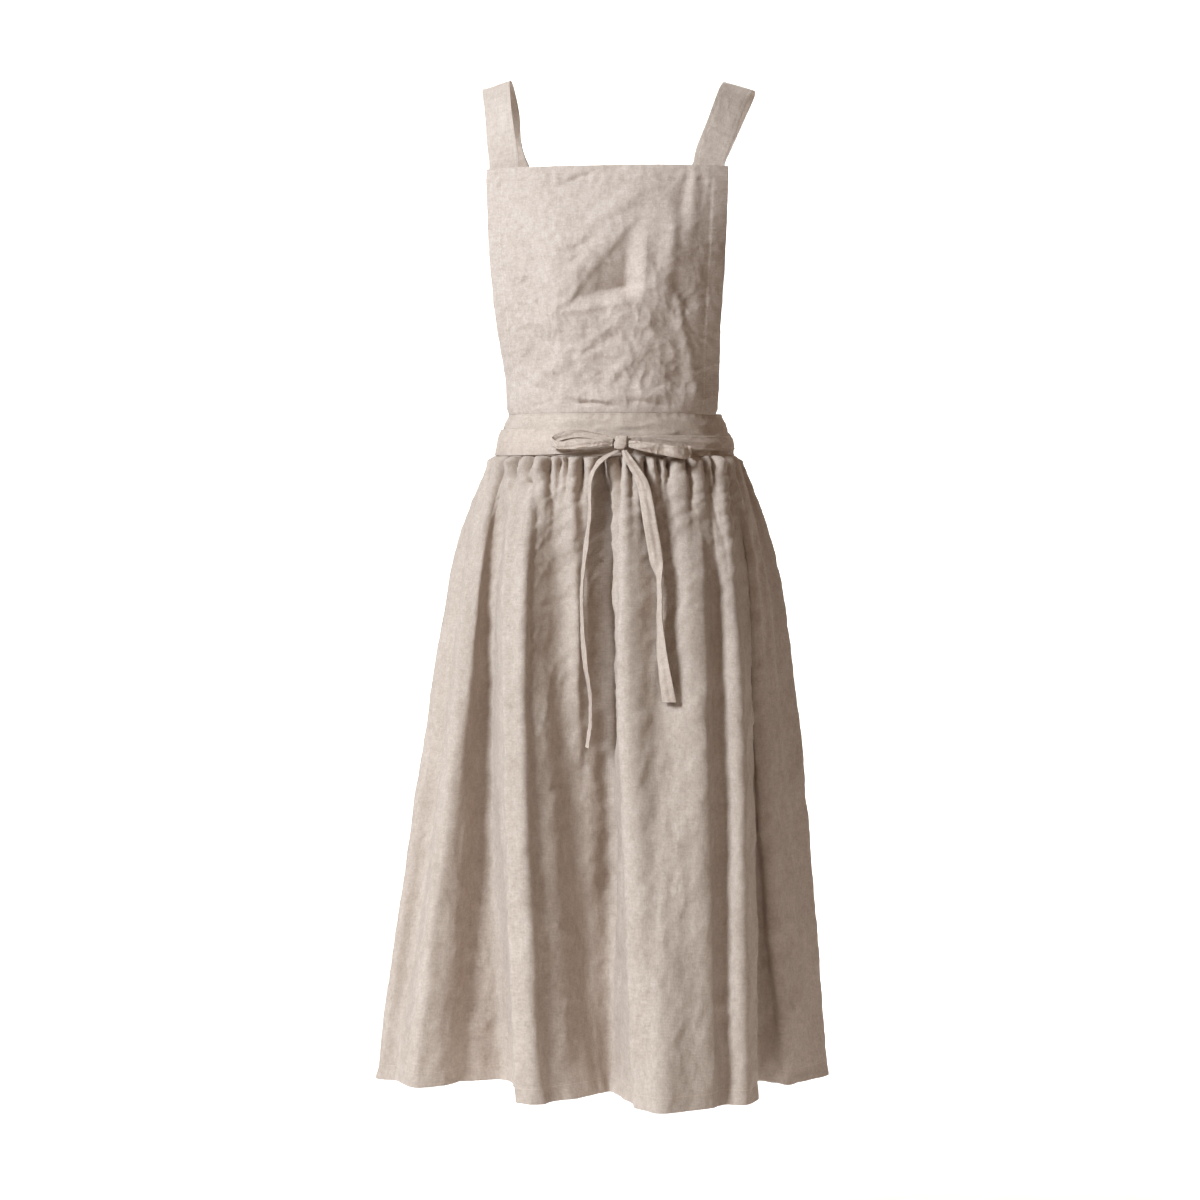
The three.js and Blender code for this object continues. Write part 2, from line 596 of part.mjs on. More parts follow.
function makeLoop(table, side) {
  const places = table.map((row, i) => i);
  const steps = 22;
  const points = [];
  for (let i = 0; i <= steps; i += 1) {
    const place = (table.length - 1) * i / steps;
    const reach = along(places, column(table, 'reach'), place) * LOOP_LENGTH;
    const out = (LOOP_STAND + along(places, column(table, 'out'), place)) * LOOP_DEPTH;
    const rise = along(places, column(table, 'rise'), place) * LOOP_BAND;
    const half = along(places, column(table, 'tall'), place) * LOOP_BAND / 2;
    const x = KNOT_X + side * (KNOT_WIDTH / 2 + GAP + reach);
    const base = frontReach(x, knotZ + rise - half, KNOT_WIDTH / 4);
    const y = base - GAP * 2 - TIE_CLOTH - out;
    points.push([-1, 1].map((k) => new THREE.Vector3(x, y, knotZ + rise + k * side * half)));
  }
  return clothWall(points, () => TIE_CLOTH);
}

function makeTail(table, length) {
  const places = column(table, 'down');
  const steps = 18;
  const stations = [];
  const top = knotZ - KNOT_HEIGHT / 2 - GAP;
  for (let i = 0; i <= steps; i += 1) {
    const down = i / steps;
    const x = KNOT_X + along(places, column(table, 'side'), down) * TAIL_SPREAD;
    const z = top - down * length;
    const turn = along(places, column(table, 'turn'), down) * DEGREE;
    const wide = along(places, column(table, 'wide'), down);
    const across = new THREE.Vector3(-Math.cos(turn), Math.sin(turn), 0);
    const half = TAIL_WIDTH * wide / 2;
    const room = half * Math.sin(turn) + TAIL_CLEARANCE + TIE_CLOTH;
    const span = half * Math.cos(turn) + TAIL_WIDTH / 4;
    const spacing = length / steps;
    const clear = Math.min(frontReach(x, z, span), frontReach(x, z - spacing / 2, span)) - room;
    const y = mix(knotMiddle - KNOT_DEPTH / 4, clear, smooth(0, TAIL_START, down));
    stations.push({ centre: new THREE.Vector3(x, y, z), across, wide });
  }
  return bandWall(stations, TAIL_WIDTH, TIE_CLOTH);
}

const apron = new THREE.Group();
apron.name = 'cross_back_apron';
apron.add(clothMesh('bib', makeBib(), 0xd0c2b5, 0.92));
apron.add(clothMesh('strap_left', makeStrap(-1, 0, STRAP_BACK_LEFT), 0xcfc1b4, 0.92));
apron.add(clothMesh('strap_right', makeStrap(1, STRAP_CLOTH + CROSS_ROOM, STRAP_BACK_RIGHT), 0xcfc1b4, 0.92));
apron.add(clothMesh('waistband', makeWaistband(), 0xccbeb0, 0.92));
apron.add(clothMesh('skirt', makeSkirt(), 0xcdbfb1, 0.92));
apron.add(clothMesh('tie_wrap_left', makeTie(LEFT_TIE, 1), 0xcabcae, 0.92));
apron.add(clothMesh('tie_wrap_right', makeTie(RIGHT_TIE, -1), 0xcabcae, 0.92));
apron.add(clothMesh('bow_knot', makeKnot(), 0xc9bbad, 0.92));
apron.add(clothMesh('bow_loop_left', makeLoop(LEFT_LOOP, -1), 0xcabcae, 0.92));
apron.add(clothMesh('bow_loop_right', makeLoop(RIGHT_LOOP, 1), 0xcabcae, 0.92));
apron.add(clothMesh('bow_tail_left', makeTail(LEFT_TAIL, LEFT_TAIL_LENGTH), 0xcabcae, 0.92));
apron.add(clothMesh('bow_tail_right', makeTail(RIGHT_TAIL, RIGHT_TAIL_LENGTH), 0xcabcae, 0.92));

export default apron;
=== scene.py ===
# %% [markdown]
# # A cross back apron in washed linen
# This lesson dresses a finished CAD model of a full-length cross back apron: a square bib,
# two straps that cross on the back, a waistband, a gathered skirt and long ties with a bow.
# The CAD model is the fixed frame. Each soft piece here is modelled in its place over the
# CAD piece of the same name, at the same sizes, with the folds, gathers, seams and weave
# that a CAD solid leaves out.

# %% Load the frame
import math

import bpy
import numpy as np
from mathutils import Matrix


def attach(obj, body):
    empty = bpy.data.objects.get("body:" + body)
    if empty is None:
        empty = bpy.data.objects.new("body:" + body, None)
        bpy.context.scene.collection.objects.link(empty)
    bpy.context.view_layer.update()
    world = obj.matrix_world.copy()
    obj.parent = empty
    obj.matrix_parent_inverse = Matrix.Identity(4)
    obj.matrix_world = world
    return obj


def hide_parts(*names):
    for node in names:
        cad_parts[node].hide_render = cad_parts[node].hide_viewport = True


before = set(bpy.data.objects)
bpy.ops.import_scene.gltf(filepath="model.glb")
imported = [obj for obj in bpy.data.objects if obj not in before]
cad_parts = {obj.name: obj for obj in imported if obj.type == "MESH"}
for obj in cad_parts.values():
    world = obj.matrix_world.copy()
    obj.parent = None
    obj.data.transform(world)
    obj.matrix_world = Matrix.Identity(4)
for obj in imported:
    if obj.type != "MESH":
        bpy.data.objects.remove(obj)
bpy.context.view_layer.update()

# %% [markdown]
# ## Sizes
# The pieces are worked out in millimetres, as a pattern cutter would, and turned into metres
# when a mesh is filled in. The sizes are those of the CAD model.

# %% Sizes of the cut pieces
MM = 0.001
BIB_TOP_WIDTH, BIB_BOTTOM_WIDTH, BIB_HEIGHT = 258, 226, 269
BIB_DROP, BIB_DEPTH, BIB_HEM = 88, 118, 15
WAIST_WIDTH, WAIST_DEPTH, WAISTBAND_HEIGHT = 236, 188, 45
WAISTBAND_FLARE, FRONT_FLARE_SHARE, BACK_GAP = 12, 0.5, 60
SKIRT_LENGTH, MIDDLE_WIDTH, HEM_WIDTH, FOLD_DEPTH = 685.4, 412, 498, 120
STRAP_WIDTH, STRAP_SPREAD, STRAP_BASE = 33, 130, 112
BACK_DEPTH, STRAP_SEAM, STRAP_BACK_SEAT = 110, 15, 58
TIE_WIDTH, GAP = 28, 0.3
BIB_TOP = -BIB_DROP
WAIST_TOP = BIB_TOP - BIB_HEIGHT - GAP
WAIST_BOTTOM = WAIST_TOP - WAISTBAND_HEIGHT
SKIRT_TOP = WAIST_BOTTOM - GAP
BACK_ANGLE = 180 - math.degrees(math.asin(BACK_GAP / WAIST_WIDTH))
print("waist from", WAIST_TOP, "to", WAIST_BOTTOM, "mm, hem at", SKIRT_TOP - SKIRT_LENGTH, "mm")

# %% [markdown]
# ## Tools for cloth
# Cloth is a thin sheet, so every piece starts as a flat grid primitive. The grid's own
# coordinates say how far along and how far down each point lies in the cut cloth, and a
# function then says where that point of the cloth hangs. Solidify gives the sheet its
# thickness. A smooth curve through a short table stands in for the tailor's paper pattern.

# %% Curves through tables
def along(places, values, x):
    """A smooth curve through values that stand at the given places, read at x."""
    places = np.asarray(places, float)
    values = np.asarray(values, float)
    x = np.asarray(x, float)
    last = len(places) - 1
    low = np.clip(np.arange(last + 1) - 1, 0, last)
    high = np.clip(np.arange(last + 1) + 1, 0, last)
    slope = (values[high] - values[low]) / (places[high] - places[low])
    i = np.clip(np.searchsorted(places, x, side="left") - 1, 0, last - 1)
    span = places[i + 1] - places[i]
    s = (x - places[i]) / span
    rise = values[i + 1] - values[i]
    start, end = slope[i] * span, slope[i + 1] * span
    return values[i] + s * start + s**2 * (3 * rise - 2 * start - end) + s**3 * (start + end - 2 * rise)


def named_rows(columns, *rows):
    """A table with named columns, as one dictionary for each row."""
    return [dict(zip(columns.split(), row)) for row in rows]


def column(rows, key):
    return [row[key] for row in rows]


def curve(places, rows, key, x):
    return along(places, column(rows, key), x)


def mix(a, b, share):
    return a + (b - a) * share


def smooth(start, end, x):
    share = np.clip((np.asarray(x, float) - start) / (end - start), 0, 1)
    return share * share * (3 - 2 * share)


def bell(x, middle, width):
    return np.exp(-(((x - middle) / width) ** 2))


# %% Wrinkle noise
TURNS = np.random.RandomState(11).rand(256, 256) * 2 * math.pi


def noise(x, y, layer=0):
    """Smooth bumps about one unit wide, between -1 and 1."""
    x = np.asarray(x, float) + 37.7 * layer
    y = np.asarray(y, float) + 71.3 * layer
    xi, yi = np.floor(x).astype(int), np.floor(y).astype(int)
    fx, fy = x - xi, y - yi
    sx, sy = (f * f * f * (f * (f * 6 - 15) + 10) for f in (fx, fy))

    def corner(dx, dy):
        turn = TURNS[(xi + dx) & 255, (yi + dy) & 255]
        return np.cos(turn) * (fx - dx) + np.sin(turn) * (fy - dy)

    top = mix(corner(0, 0), corner(1, 0), sx)
    bottom = mix(corner(0, 1), corner(1, 1), sx)
    return 1.5 * mix(top, bottom, sy)


def creases(x, y, size, layer=0, lean=0.0):
    """Sharp little ridges of worn cloth, size in millimetres, between 0 and 1."""
    a, b = math.cos(lean), math.sin(lean)
    p, q = (x * a + y * b) / size, (y * a - x * b) / size
    p = p + 0.45 * noise(p * 0.6, q * 0.6, layer + 3)
    q = q + 0.45 * noise(p * 0.6, q * 0.6, layer + 5)
    return (1 - np.abs(noise(p, q, layer))) ** 4


noise_sample = noise(np.linspace(0, 50, 999), 0.3)
print("noise spans", noise_sample.min(), noise_sample.max())


# %% A grid of cloth
def outward(points):
    """The direction that the outer face looks in, for a grid of points."""
    across = np.gradient(points, axis=0)
    down = np.gradient(points, axis=1)
    face = np.cross(down, across)
    return face / np.maximum(np.linalg.norm(face, axis=2, keepdims=True), 1e-9)


def read_points(mesh):
    points = np.empty(len(mesh.vertices) * 3)
    mesh.vertices.foreach_get("co", points)
    return points.reshape(-1, 3)


def cloth_grid(name, columns, rows, place, flat, wall):
    """A sheet whose points lie where place says, for shares across and down of the cut cloth."""
    bpy.ops.mesh.primitive_grid_add(x_subdivisions=columns, y_subdivisions=rows, size=1)
    piece = bpy.context.object
    piece.name = piece.data.name = name
    mesh = piece.data
    seed = read_points(mesh)
    u, d = seed[:, 0] + 0.5, 0.5 - seed[:, 1]
    across, down = np.unique(np.round(u, 5)), np.unique(np.round(d, 5))
    points = place(*np.meshgrid(across, down, indexing="ij"))
    i = np.searchsorted(across, np.round(u, 5))
    j = np.searchsorted(down, np.round(d, 5))
    mesh.vertices.foreach_set("co", (points[i, j] * MM).ravel())
    loops = np.empty(len(mesh.loops), np.int32)
    mesh.loops.foreach_get("vertex_index", loops)
    spread = np.stack([u[loops] * flat[0], (1 - d[loops]) * flat[1]], axis=1)
    mesh.uv_layers[0].data.foreach_set("uv", spread.ravel())
    mesh.update()
    bpy.ops.object.modifier_add(type="SOLIDIFY")
    solid = piece.modifiers[-1]
    solid.thickness = wall * MM
    solid.offset = -1
    bpy.ops.object.modifier_apply(modifier=solid.name)
    bpy.ops.object.shade_smooth_by_angle(angle=math.radians(50))
    print(name, "has", len(piece.data.polygons), "faces")
    return piece


def dress(piece, node, material):
    """Gives a finished piece its cloth, hangs it on the root body and hides the CAD node it stands for.
    """
    piece.data.materials.clear()
    piece.data.materials.append(material)
    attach(piece, "root")
    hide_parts(node)


# %% [markdown]
# ## The cloth itself
# The apron is plain-woven linen and cotton, washed and not pressed. Close up it has thick
# and thin yarns in both directions, a soft speckle where light and dark fibres were spun
# together, and hardly any shine. The maps are laid out in metres of cut cloth, so the yarns
# follow every fold. The weave moves the light by a bump; the folds are real geometry.

# %% Linen material
YARN_PITCH, STITCH_PITCH, STITCH_SHARE, STITCH_HALF_WIDTH = 0.0011, 0.0038, 0.72, 0.00035


def linen(name, light, dark, stitch_lines=(), mottle=0.5):
    """Woven cloth. stitch_lines: (axis, place) of each stitched seam in metres of cut cloth."""
    material = bpy.data.materials.new(name)
    material.use_nodes = True
    tree = material.node_tree
    nodes, link = tree.nodes, tree.links.new
    nodes.clear()
    output = nodes.new("ShaderNodeOutputMaterial")
    cloth = nodes.new("ShaderNodeBsdfPrincipled")
    link(cloth.outputs["BSDF"], output.inputs["Surface"])
    cloth.inputs["Roughness"].default_value = 0.92
    cloth.inputs["Specular IOR Level"].default_value = 0.15
    cloth.inputs["Sheen Weight"].default_value = 0.12
    cloth.inputs["Sheen Roughness"].default_value = 0.5
    cloth.inputs["Sheen Tint"].default_value = (0.95, 0.93, 0.9, 1)
    spread = nodes.new("ShaderNodeUVMap")
    split = nodes.new("ShaderNodeSeparateXYZ")
    link(spread.outputs["UV"], split.inputs["Vector"])

    def bumps(x, y, detail, rough=0.5):
        mapping = nodes.new("ShaderNodeMapping")
        mapping.inputs["Scale"].default_value = (x, y, 1)
        link(spread.outputs["UV"], mapping.inputs["Vector"])
        texture = nodes.new("ShaderNodeTexNoise")
        texture.inputs["Scale"].default_value = 1
        texture.inputs["Detail"].default_value = detail
        texture.inputs["Roughness"].default_value = rough
        link(mapping.outputs["Vector"], texture.inputs["Vector"])
        return texture.outputs["Fac"]

    def work(kind, *values):
        node = nodes.new("ShaderNodeMath")
        node.operation = kind
        for socket, value in zip(node.inputs, values):
            if isinstance(value, (int, float)):
                socket.default_value = value
            else:
                link(value, socket)
        return node.outputs[0]

    def threads(coordinate):
        turn = work("MULTIPLY", split.outputs[coordinate], 2 * math.pi / YARN_PITCH)
        return work("MULTIPLY_ADD", work("SINE", turn), 0.5, 0.5)

    warp = bumps(760, 90, 3)
    weft = bumps(80, 700, 3)
    grain = bumps(420, 460, 4, 0.75)
    patch = bumps(150, 130, 5, 0.7)
    cloud = bumps(24, 20, 3)
    yarns = work("ADD", warp, weft)
    tone = work("MULTIPLY", yarns, 0.16)
    for part, share in ((grain, mottle), (patch, 0.5), (cloud, 0.22)):
        tone = work("ADD", tone, work("MULTIPLY", part, share))
    ramp = nodes.new("ShaderNodeValToRGB")
    ramp.color_ramp.elements[0].position = 0.52
    ramp.color_ramp.elements[0].color = (*dark, 1)
    ramp.color_ramp.elements[1].position = 0.92
    ramp.color_ramp.elements[1].color = (*light, 1)
    link(tone, ramp.inputs["Fac"])
    relief = work("MULTIPLY", yarns, 0.5)
    relief = work("ADD", relief, work("MULTIPLY", work("MULTIPLY", threads("X"), threads("Y")), 0.5))
    relief = work("ADD", relief, work("MULTIPLY", grain, 0.6))
    stitched = None
    for axis, place in stitch_lines:
        other = "Y" if axis == "X" else "X"
        off = work("ABSOLUTE", work("SUBTRACT", split.outputs[axis], place))
        along_dash = work("FRACT", work("DIVIDE", split.outputs[other], STITCH_PITCH))
        dash = work("LESS_THAN", along_dash, STITCH_SHARE)
        mask = work("MULTIPLY", work("LESS_THAN", off, STITCH_HALF_WIDTH), dash)
        stitched = mask if stitched is None else work("MAXIMUM", stitched, mask)
    color = ramp.outputs["Color"]
    if stitched is not None:
        thread = nodes.new("ShaderNodeMix")
        thread.data_type = "RGBA"
        link(stitched, thread.inputs[0])
        link(color, thread.inputs[6])
        thread.inputs[7].default_value = (light[0] * 0.97, light[1] * 0.96, light[2] * 0.94, 1)
        color = thread.outputs[2]
        relief = work("ADD", relief, work("MULTIPLY", stitched, 0.7))
    link(color, cloth.inputs["Base Color"])
    bump = nodes.new("ShaderNodeBump")
    bump.inputs["Strength"].default_value = 0.6
    bump.inputs["Distance"].default_value = 0.0006
    link(relief, bump.inputs["Height"])
    link(bump.outputs["Normal"], cloth.inputs["Normal"])
    return material


HEM_LINES = [("X", BIB_HEM * MM), ("X", (BIB_TOP_WIDTH - BIB_HEM) * MM)]
HEM_LINES.append(("Y", (BIB_HEIGHT - BIB_HEM) * MM))
EDGE_LINES = [("Y", 0.003), ("Y", 0.042)]
STRAP_LINES = [("Y", 0.003), ("Y", 0.030)]
SKIRT_HEM = 11
SKIRT_LINES = [("Y", SKIRT_HEM * MM)]
BIB_LINEN = linen("bib_linen", (0.600, 0.512, 0.448), (0.400, 0.315, 0.255), HEM_LINES)
SKIRT_LINEN = linen("skirt_linen", (0.588, 0.498, 0.428), (0.385, 0.302, 0.242), SKIRT_LINES)
STRAP_LINEN = linen("strap_linen", (0.610, 0.520, 0.450), (0.430, 0.345, 0.285), STRAP_LINES)
BAND_LINEN = linen("waistband_linen", (0.590, 0.496, 0.424), (0.395, 0.312, 0.248), EDGE_LINES)
TIE_LINEN = linen("tie_linen", (0.600, 0.500, 0.425), (0.400, 0.315, 0.255))
print("cloths:", [m.name for m in bpy.data.materials if m.name.endswith("linen")])

# %% [markdown]
# ## The waist
# Every piece meets at the waist, so the waist ring comes first. Seen from above it is an
# oval, wider than deep, and it flares a little from the bib's seam down to the skirt's seam.


# %% The waist ring
def waist_point(angle, z, out):
    """A point of the ring at an angle from the front, a height and a distance outward."""
    angle, z, out = np.broadcast_arrays(*(np.asarray(v, float) for v in (angle, z, out)))
    flare = WAISTBAND_FLARE * (WAIST_TOP - z) / WAISTBAND_HEIGHT
    turn = np.radians(angle)
    x = (WAIST_WIDTH / 2 + flare + out) * np.sin(turn)
    y = -(WAIST_DEPTH / 2 + FRONT_FLARE_SHARE * flare + out) * np.cos(turn)
    return np.stack([x, y, z], axis=-1)


# %% [markdown]
# ## The bib
# The bib is a square of cloth, hemmed at the top and sides and narrowing to the waist. It
# curves round the chest, stands furthest forward a third of the way down and falls in to the
# waist seam. Its dents are soft hollows that are added one by one from a table; the small
# wrinkles come from noise; the turned hems are a raised rim with a pulled stitch line. The
# camera sees the top hem a little lower than the CAD has it, so the cloth sags there.

# %% Bib tables
BIB_SECTIONS = named_rows(
    "down width edge centre",
    (0, 0, 0.57, 0.78),
    (0.13, 0.05, 0.575, 0.87),
    (0.38, 0.24, 0.56, 1),
    (0.7, 0.68, 0.46, 0.9),
    (1, 1, 0.26, 0.82),
)
BIB_DENTS = named_rows(
    "across down wide tall lean out",
    (0.04, 0.2, 0.34, 0.035, 36, 3),
    (0.62, 0.13, 0.06, 0.16, -4, -1),
    (0.74, 0.14, 0.05, 0.15, -3, 0.8),
    (-0.2, 0.05, 0.16, 0.03, -10, -2.2),
    (0, 0.93, 0.8, 0.03, 0, 2),
    (0.86, 0.5, 0.34, 0.16, 0, -5),
)


BIB_CREASES = named_rows(
    "x1 s1 x2 s2 wide tall",
    (-46, 18, -8, 7, 3, -2.4),
    (-16, 7, 20, 6, 4, -1.2),
    (-50, 26, 60, 15, 11, 2),
    (-60, 66, 70, 52, 14, -1.6),
    (-48, 140, 24, 56, 9, 2.2),
    (-30, 92, -8, 84, 4, -1.8),
    (-34, 108, -14, 96, 4, -1.6),
    (-58, 82, -46, 78, 3.5, -1.2),
    (-46, 158, 34, 146, 6, 1.4),
    (76, 58, 70, 165, 9, 3),
    (82, 140, 106, 252, 5, 2.4),
    (-104, 176, -52, 196, 8, -2.2),
    (-98, 244, -34, 206, 8, 2.4),
    (-24, 206, 18, 184, 6, -2),
    (0, 240, 34, 206, 6, 1.8),
    (44, 246, 84, 232, 5, -1.8),
    (80, 8, 74, 84, 8, 0.9),
    (88, 2, 82, 88, 6, -1.1),
    (97, 4, 93, 84, 6.5, 0.8),
    (106, 10, 102, 84, 6, -0.8),
    (52, 96, 104, 150, 10, -2),
    (-34, 259, 18, 262, 2.6, -2.2),
    (-40, 252, 22, 254, 4, 2),
    (30, 256, 78, 261, 3, -1.6),
    (-96, 262, -56, 255, 3, -1.4),
    (-112, 40, -90, 130, 9, 1.4),
    (-88, 60, -60, 118, 6, -1.2),
    (-70, 170, -30, 235, 8, 1.4),
    (-20, 176, 40, 196, 6, -1.2),
    (40, 175, 95, 235, 8, -1.5),
    (-96, 228, -40, 246, 5, 1.2),
)
HOLLOW = [(33, 60), (31, 141), (-41, 151)]
HOLLOW_DEPTH, HOLLOW_SLANT = 19, 44
HOLLOW_EDGES = [(-18, 7), (-9, 8), (-4, 8)]


def crease_line(x, s, crease):
    """A fold of cloth from one point to another that dies away at both ends."""
    dx, ds = crease["x2"] - crease["x1"], crease["s2"] - crease["s1"]
    length = math.hypot(dx, ds)
    t = ((x - crease["x1"]) * dx + (s - crease["s1"]) * ds) / length**2
    off = ((x - crease["x1"]) * ds - (s - crease["s1"]) * dx) / length
    off = off + 2.2 * noise(t * length / 30, 0.5, int(abs(crease["x1"])))
    width = crease["wide"] * (0.7 + 0.6 * np.clip(t, 0, 1))
    ends = smooth(-0.12, 0.25, t) * smooth(1.12, 0.75, t)
    return crease["tall"] * ends * bell(off, 0, width)


def bib_hollow(x, s):
    """The three-cornered hollow in the middle of the bib, deepest inside."""
    inside = np.ones_like(x)
    for k, (begin, full) in enumerate(HOLLOW_EDGES):
        (x1, s1), (x2, s2) = HOLLOW[k], HOLLOW[(k + 1) % 3]
        off = ((x2 - x1) * (s - s1) - (s2 - s1) * (x - x1)) / math.hypot(x2 - x1, s2 - s1)
        inside = inside * smooth(begin, full, off)
    return -HOLLOW_DEPTH * inside * np.clip(off / HOLLOW_SLANT, 0, 1.2)


# %% Shape of the bib
def bib_base(across, down):
    """The bib without wrinkles. across runs from -1 to 1, down from 0 to 1."""
    at = column(BIB_SECTIONS, "down")
    width = mix(BIB_TOP_WIDTH, BIB_BOTTOM_WIDTH, curve(at, BIB_SECTIONS, "width", down))
    x = across * width / 2
    edge = curve(at, BIB_SECTIONS, "edge", down) * BIB_DEPTH
    centre = curve(at, BIB_SECTIONS, "centre", down) * BIB_DEPTH
    chest = -mix(edge, centre, 1 - np.abs(across) ** 2.6)
    sine = np.minimum(0.999, np.abs(x) / (WAIST_WIDTH / 2))
    waist = -WAIST_DEPTH / 2 * np.sqrt(1 - sine**2)
    y = mix(chest, waist, smooth(0.6, 1, down))
    for dent in BIB_DENTS:
        tilt = math.radians(dent["lean"])
        dx = across - dent["across"]
        dz = (down - dent["down"]) * 2 * BIB_HEIGHT / BIB_TOP_WIDTH
        p = (dx * math.cos(tilt) - dz * math.sin(tilt)) / dent["wide"]
        q = (dx * math.sin(tilt) + dz * math.cos(tilt)) / (dent["tall"] * 2)
        y = y - dent["out"] * np.exp(-p * p - q * q) * smooth(1, 0.9, down)
    return np.stack([x, y, BIB_TOP - BIB_HEIGHT * down], axis=-1)


BIB_TUCK, TUCK_DEPTH, BIB_SAG = 10, 2.6, 10


def bib_place(u, d):
    across = 2 * u - 1
    d = d * (1 + BIB_TUCK / BIB_HEIGHT)
    points = bib_base(across, np.minimum(d, 1))
    points[..., 2] = BIB_TOP - BIB_SAG - (BIB_HEIGHT - BIB_SAG) * d
    x, s = across * BIB_TOP_WIDTH / 2, d * BIB_HEIGHT
    relief = 1.8 * noise(x / 60, s / 75, 1) + 1.7 * noise(x / 26, s / 34, 2)
    relief += 0.5 * noise(x / 11, s / 13, 3)
    worn = 1.1 * creases(x, s, 34, 4, 0.5) + 0.9 * creases(x, s, 24, 7, -0.7)
    relief += worn + 0.6 * creases(x, s, 14, 13, 1.2)
    relief = relief * (0.45 + 0.55 * smooth(60, 150, s))
    hollow = bib_hollow(x, s)
    relief = relief * (1 + 0.85 * np.maximum(hollow / 12, -1))
    side = np.minimum(u, 1 - u) * BIB_TOP_WIDTH
    rim = np.minimum(side, s)
    quiet = smooth(0, 30, rim) * smooth(0, 14, BIB_HEIGHT - s)
    relief = relief * (0.25 + 0.75 * quiet)
    relief += 0.8 * smooth(BIB_HEM + 1, BIB_HEM - 0.6, rim)
    pull = bell(rim, BIB_HEM, 5)
    run = np.where(side < s, s, x)
    relief += pull * (0.55 * np.sin(run / 2.1) * (0.6 + 0.4 * noise(run / 30, 0, 9)) - 0.5)
    relief += 0.5 * noise(run / 9, rim / 9, 12) * smooth(26, 4, rim)
    for crease in BIB_CREASES:
        relief += crease_line(x, s, crease)
    relief += hollow
    relief = relief * smooth(BIB_HEIGHT, BIB_HEIGHT - 6, s)
    relief -= TUCK_DEPTH * smooth(BIB_HEIGHT + 0.2, BIB_HEIGHT + 1.8, s)
    return points + outward(points) * relief[..., None]


bib = cloth_grid("bib_cloth", 176, 180, bib_place, (BIB_TOP_WIDTH * MM, BIB_HEIGHT * MM), 1.5)
dress(bib, "bib", BIB_LINEN)


# %% [markdown]
# ## The waistband
# A doubled band of cloth, sewn to the bib above and the skirt below, and open at the centre
# back. It lies flat under the ties, so it only needs faint wrinkles and a seam along each edge.


# %% Waistband
BAND_RUN = 660


def waistband_place(u, d):
    angle = mix(-BACK_ANGLE, BACK_ANGLE, u)
    z = mix(WAIST_TOP, WAIST_BOTTOM, d)
    run, s = u * BAND_RUN, d * WAISTBAND_HEIGHT
    rim = np.minimum(s, WAISTBAND_HEIGHT - s)
    side_turn = -2.4 * smooth(14, 0, s) * bell(np.abs(angle), 90, 34)
    out = 1.4 * noise(run / 34, s / 11, 20) + 1.1 * creases(run * 0.45, s, 15, 22, 0.1)
    out = out * smooth(0, 10, rim) - 0.5 * bell(rim, 3, 1.2)
    out += 0.3 * np.sin(run / 1.9) * bell(rim, 2, 3)
    out += 0.9 * noise(run / 60, s / 40, 24) * smooth(0, 14, rim) + side_turn
    return waist_point(angle, z, out)


waistband = cloth_grid("waistband_cloth", 420, 28, waistband_place, (0.66, 0.045), 2.0)
dress(waistband, "waistband", BAND_LINEN)

# %% [markdown]
# ## The skirt
# The skirt is one long run of cloth in three panels, gathered hard into the waistband. Under
# the seam it is a row of small puffs with dark notches between them. Lower down the puffs join
# into a few deep folds that run to the hem. The table holds the line of each deep fold at the
# waist, half way down and at the hem, and a smooth curve through them gives every height.

# %% Fold lines
FOLDS = named_rows(
    "name waist mid_x mid_y hem_x hem_y",
    ("edge_left", -165, -0.16, 0.93, -0.18, 0.98),
    ("back_crest_left", -156, -0.29, 1.06, -0.33, 1.16),
    ("back_valley_left", -145, -0.46, 0.78, -0.48, 0.8),
    ("back_fold_left", -132, -0.66, 0.9, -0.67, 0.98),
    ("side_valley_left", -119, -0.77, 0.52, -0.79, 0.53),
    ("side_fold_left", -105, -0.95, 0.36, -0.96, 0.36),
    ("side_left", -91, -1, -0.16, -1.05, -0.18),
    ("side_left_in", -77, -0.87, -0.42, -0.96, -0.27),
    ("ridge_a", -62, -0.74, -0.7, -0.79, -0.49),
    ("valley_ab", -48, -0.65, -0.54, -0.48, -0.09),
    ("fold_b", -36, -0.43, -1.1, -0.31, -1.02),
    ("recess", -22, -0.22, -0.79, -0.09, -0.67),
    ("ridge_c", -11, -0.11, -0.67, -0.03, -0.52),
    ("valley_cd", 0, 0.03, -0.53, 0.03, -0.47),
    ("fold_d", 10, 0.13, -1.05, 0.17, -1),
    ("front_de", 23, 0.32, -0.92, 0.28, -1.21),
    ("crest_e", 37, 0.51, -0.9, 0.42, -1.01),
    ("valley_ef", 50, 0.62, -0.73, 0.52, -0.83),
    ("fold_f", 60, 0.73, -0.75, 0.63, -0.71),
    ("behind_f", 69, 0.75, -0.33, 0.61, 0.14),
    ("ridge_g", 78, 0.83, -0.32, 0.76, 0.1),
    ("side_right_in", 87, 0.89, 0, 0.84, 0.25),
    ("side_right", 97, 0.98, 0.31, 0.92, 0.52),
    ("side_valley_right", 110, 0.8, 0.5, 0.8, 0.66),
    ("side_fold_right", 123, 0.76, 0.88, 0.76, 1.02),
    ("back_valley_right", 138, 0.52, 0.78, 0.54, 0.86),
    ("back_crest_right", 152, 0.34, 1.06, 0.36, 1.17),
    ("edge_right", 165, 0.16, 0.93, 0.18, 0.98),
)
UPPER_FLARE, UPPER_POWER, LOWER_START, LOWER_POWER = 4.3, 0.9, 0.25, 1.35
HALF_SPAN = 165
FOLD_PLACE = np.array(column(FOLDS, "waist"), float) + HALF_SPAN
SKIRT_SPAN = FOLD_PLACE[-1]


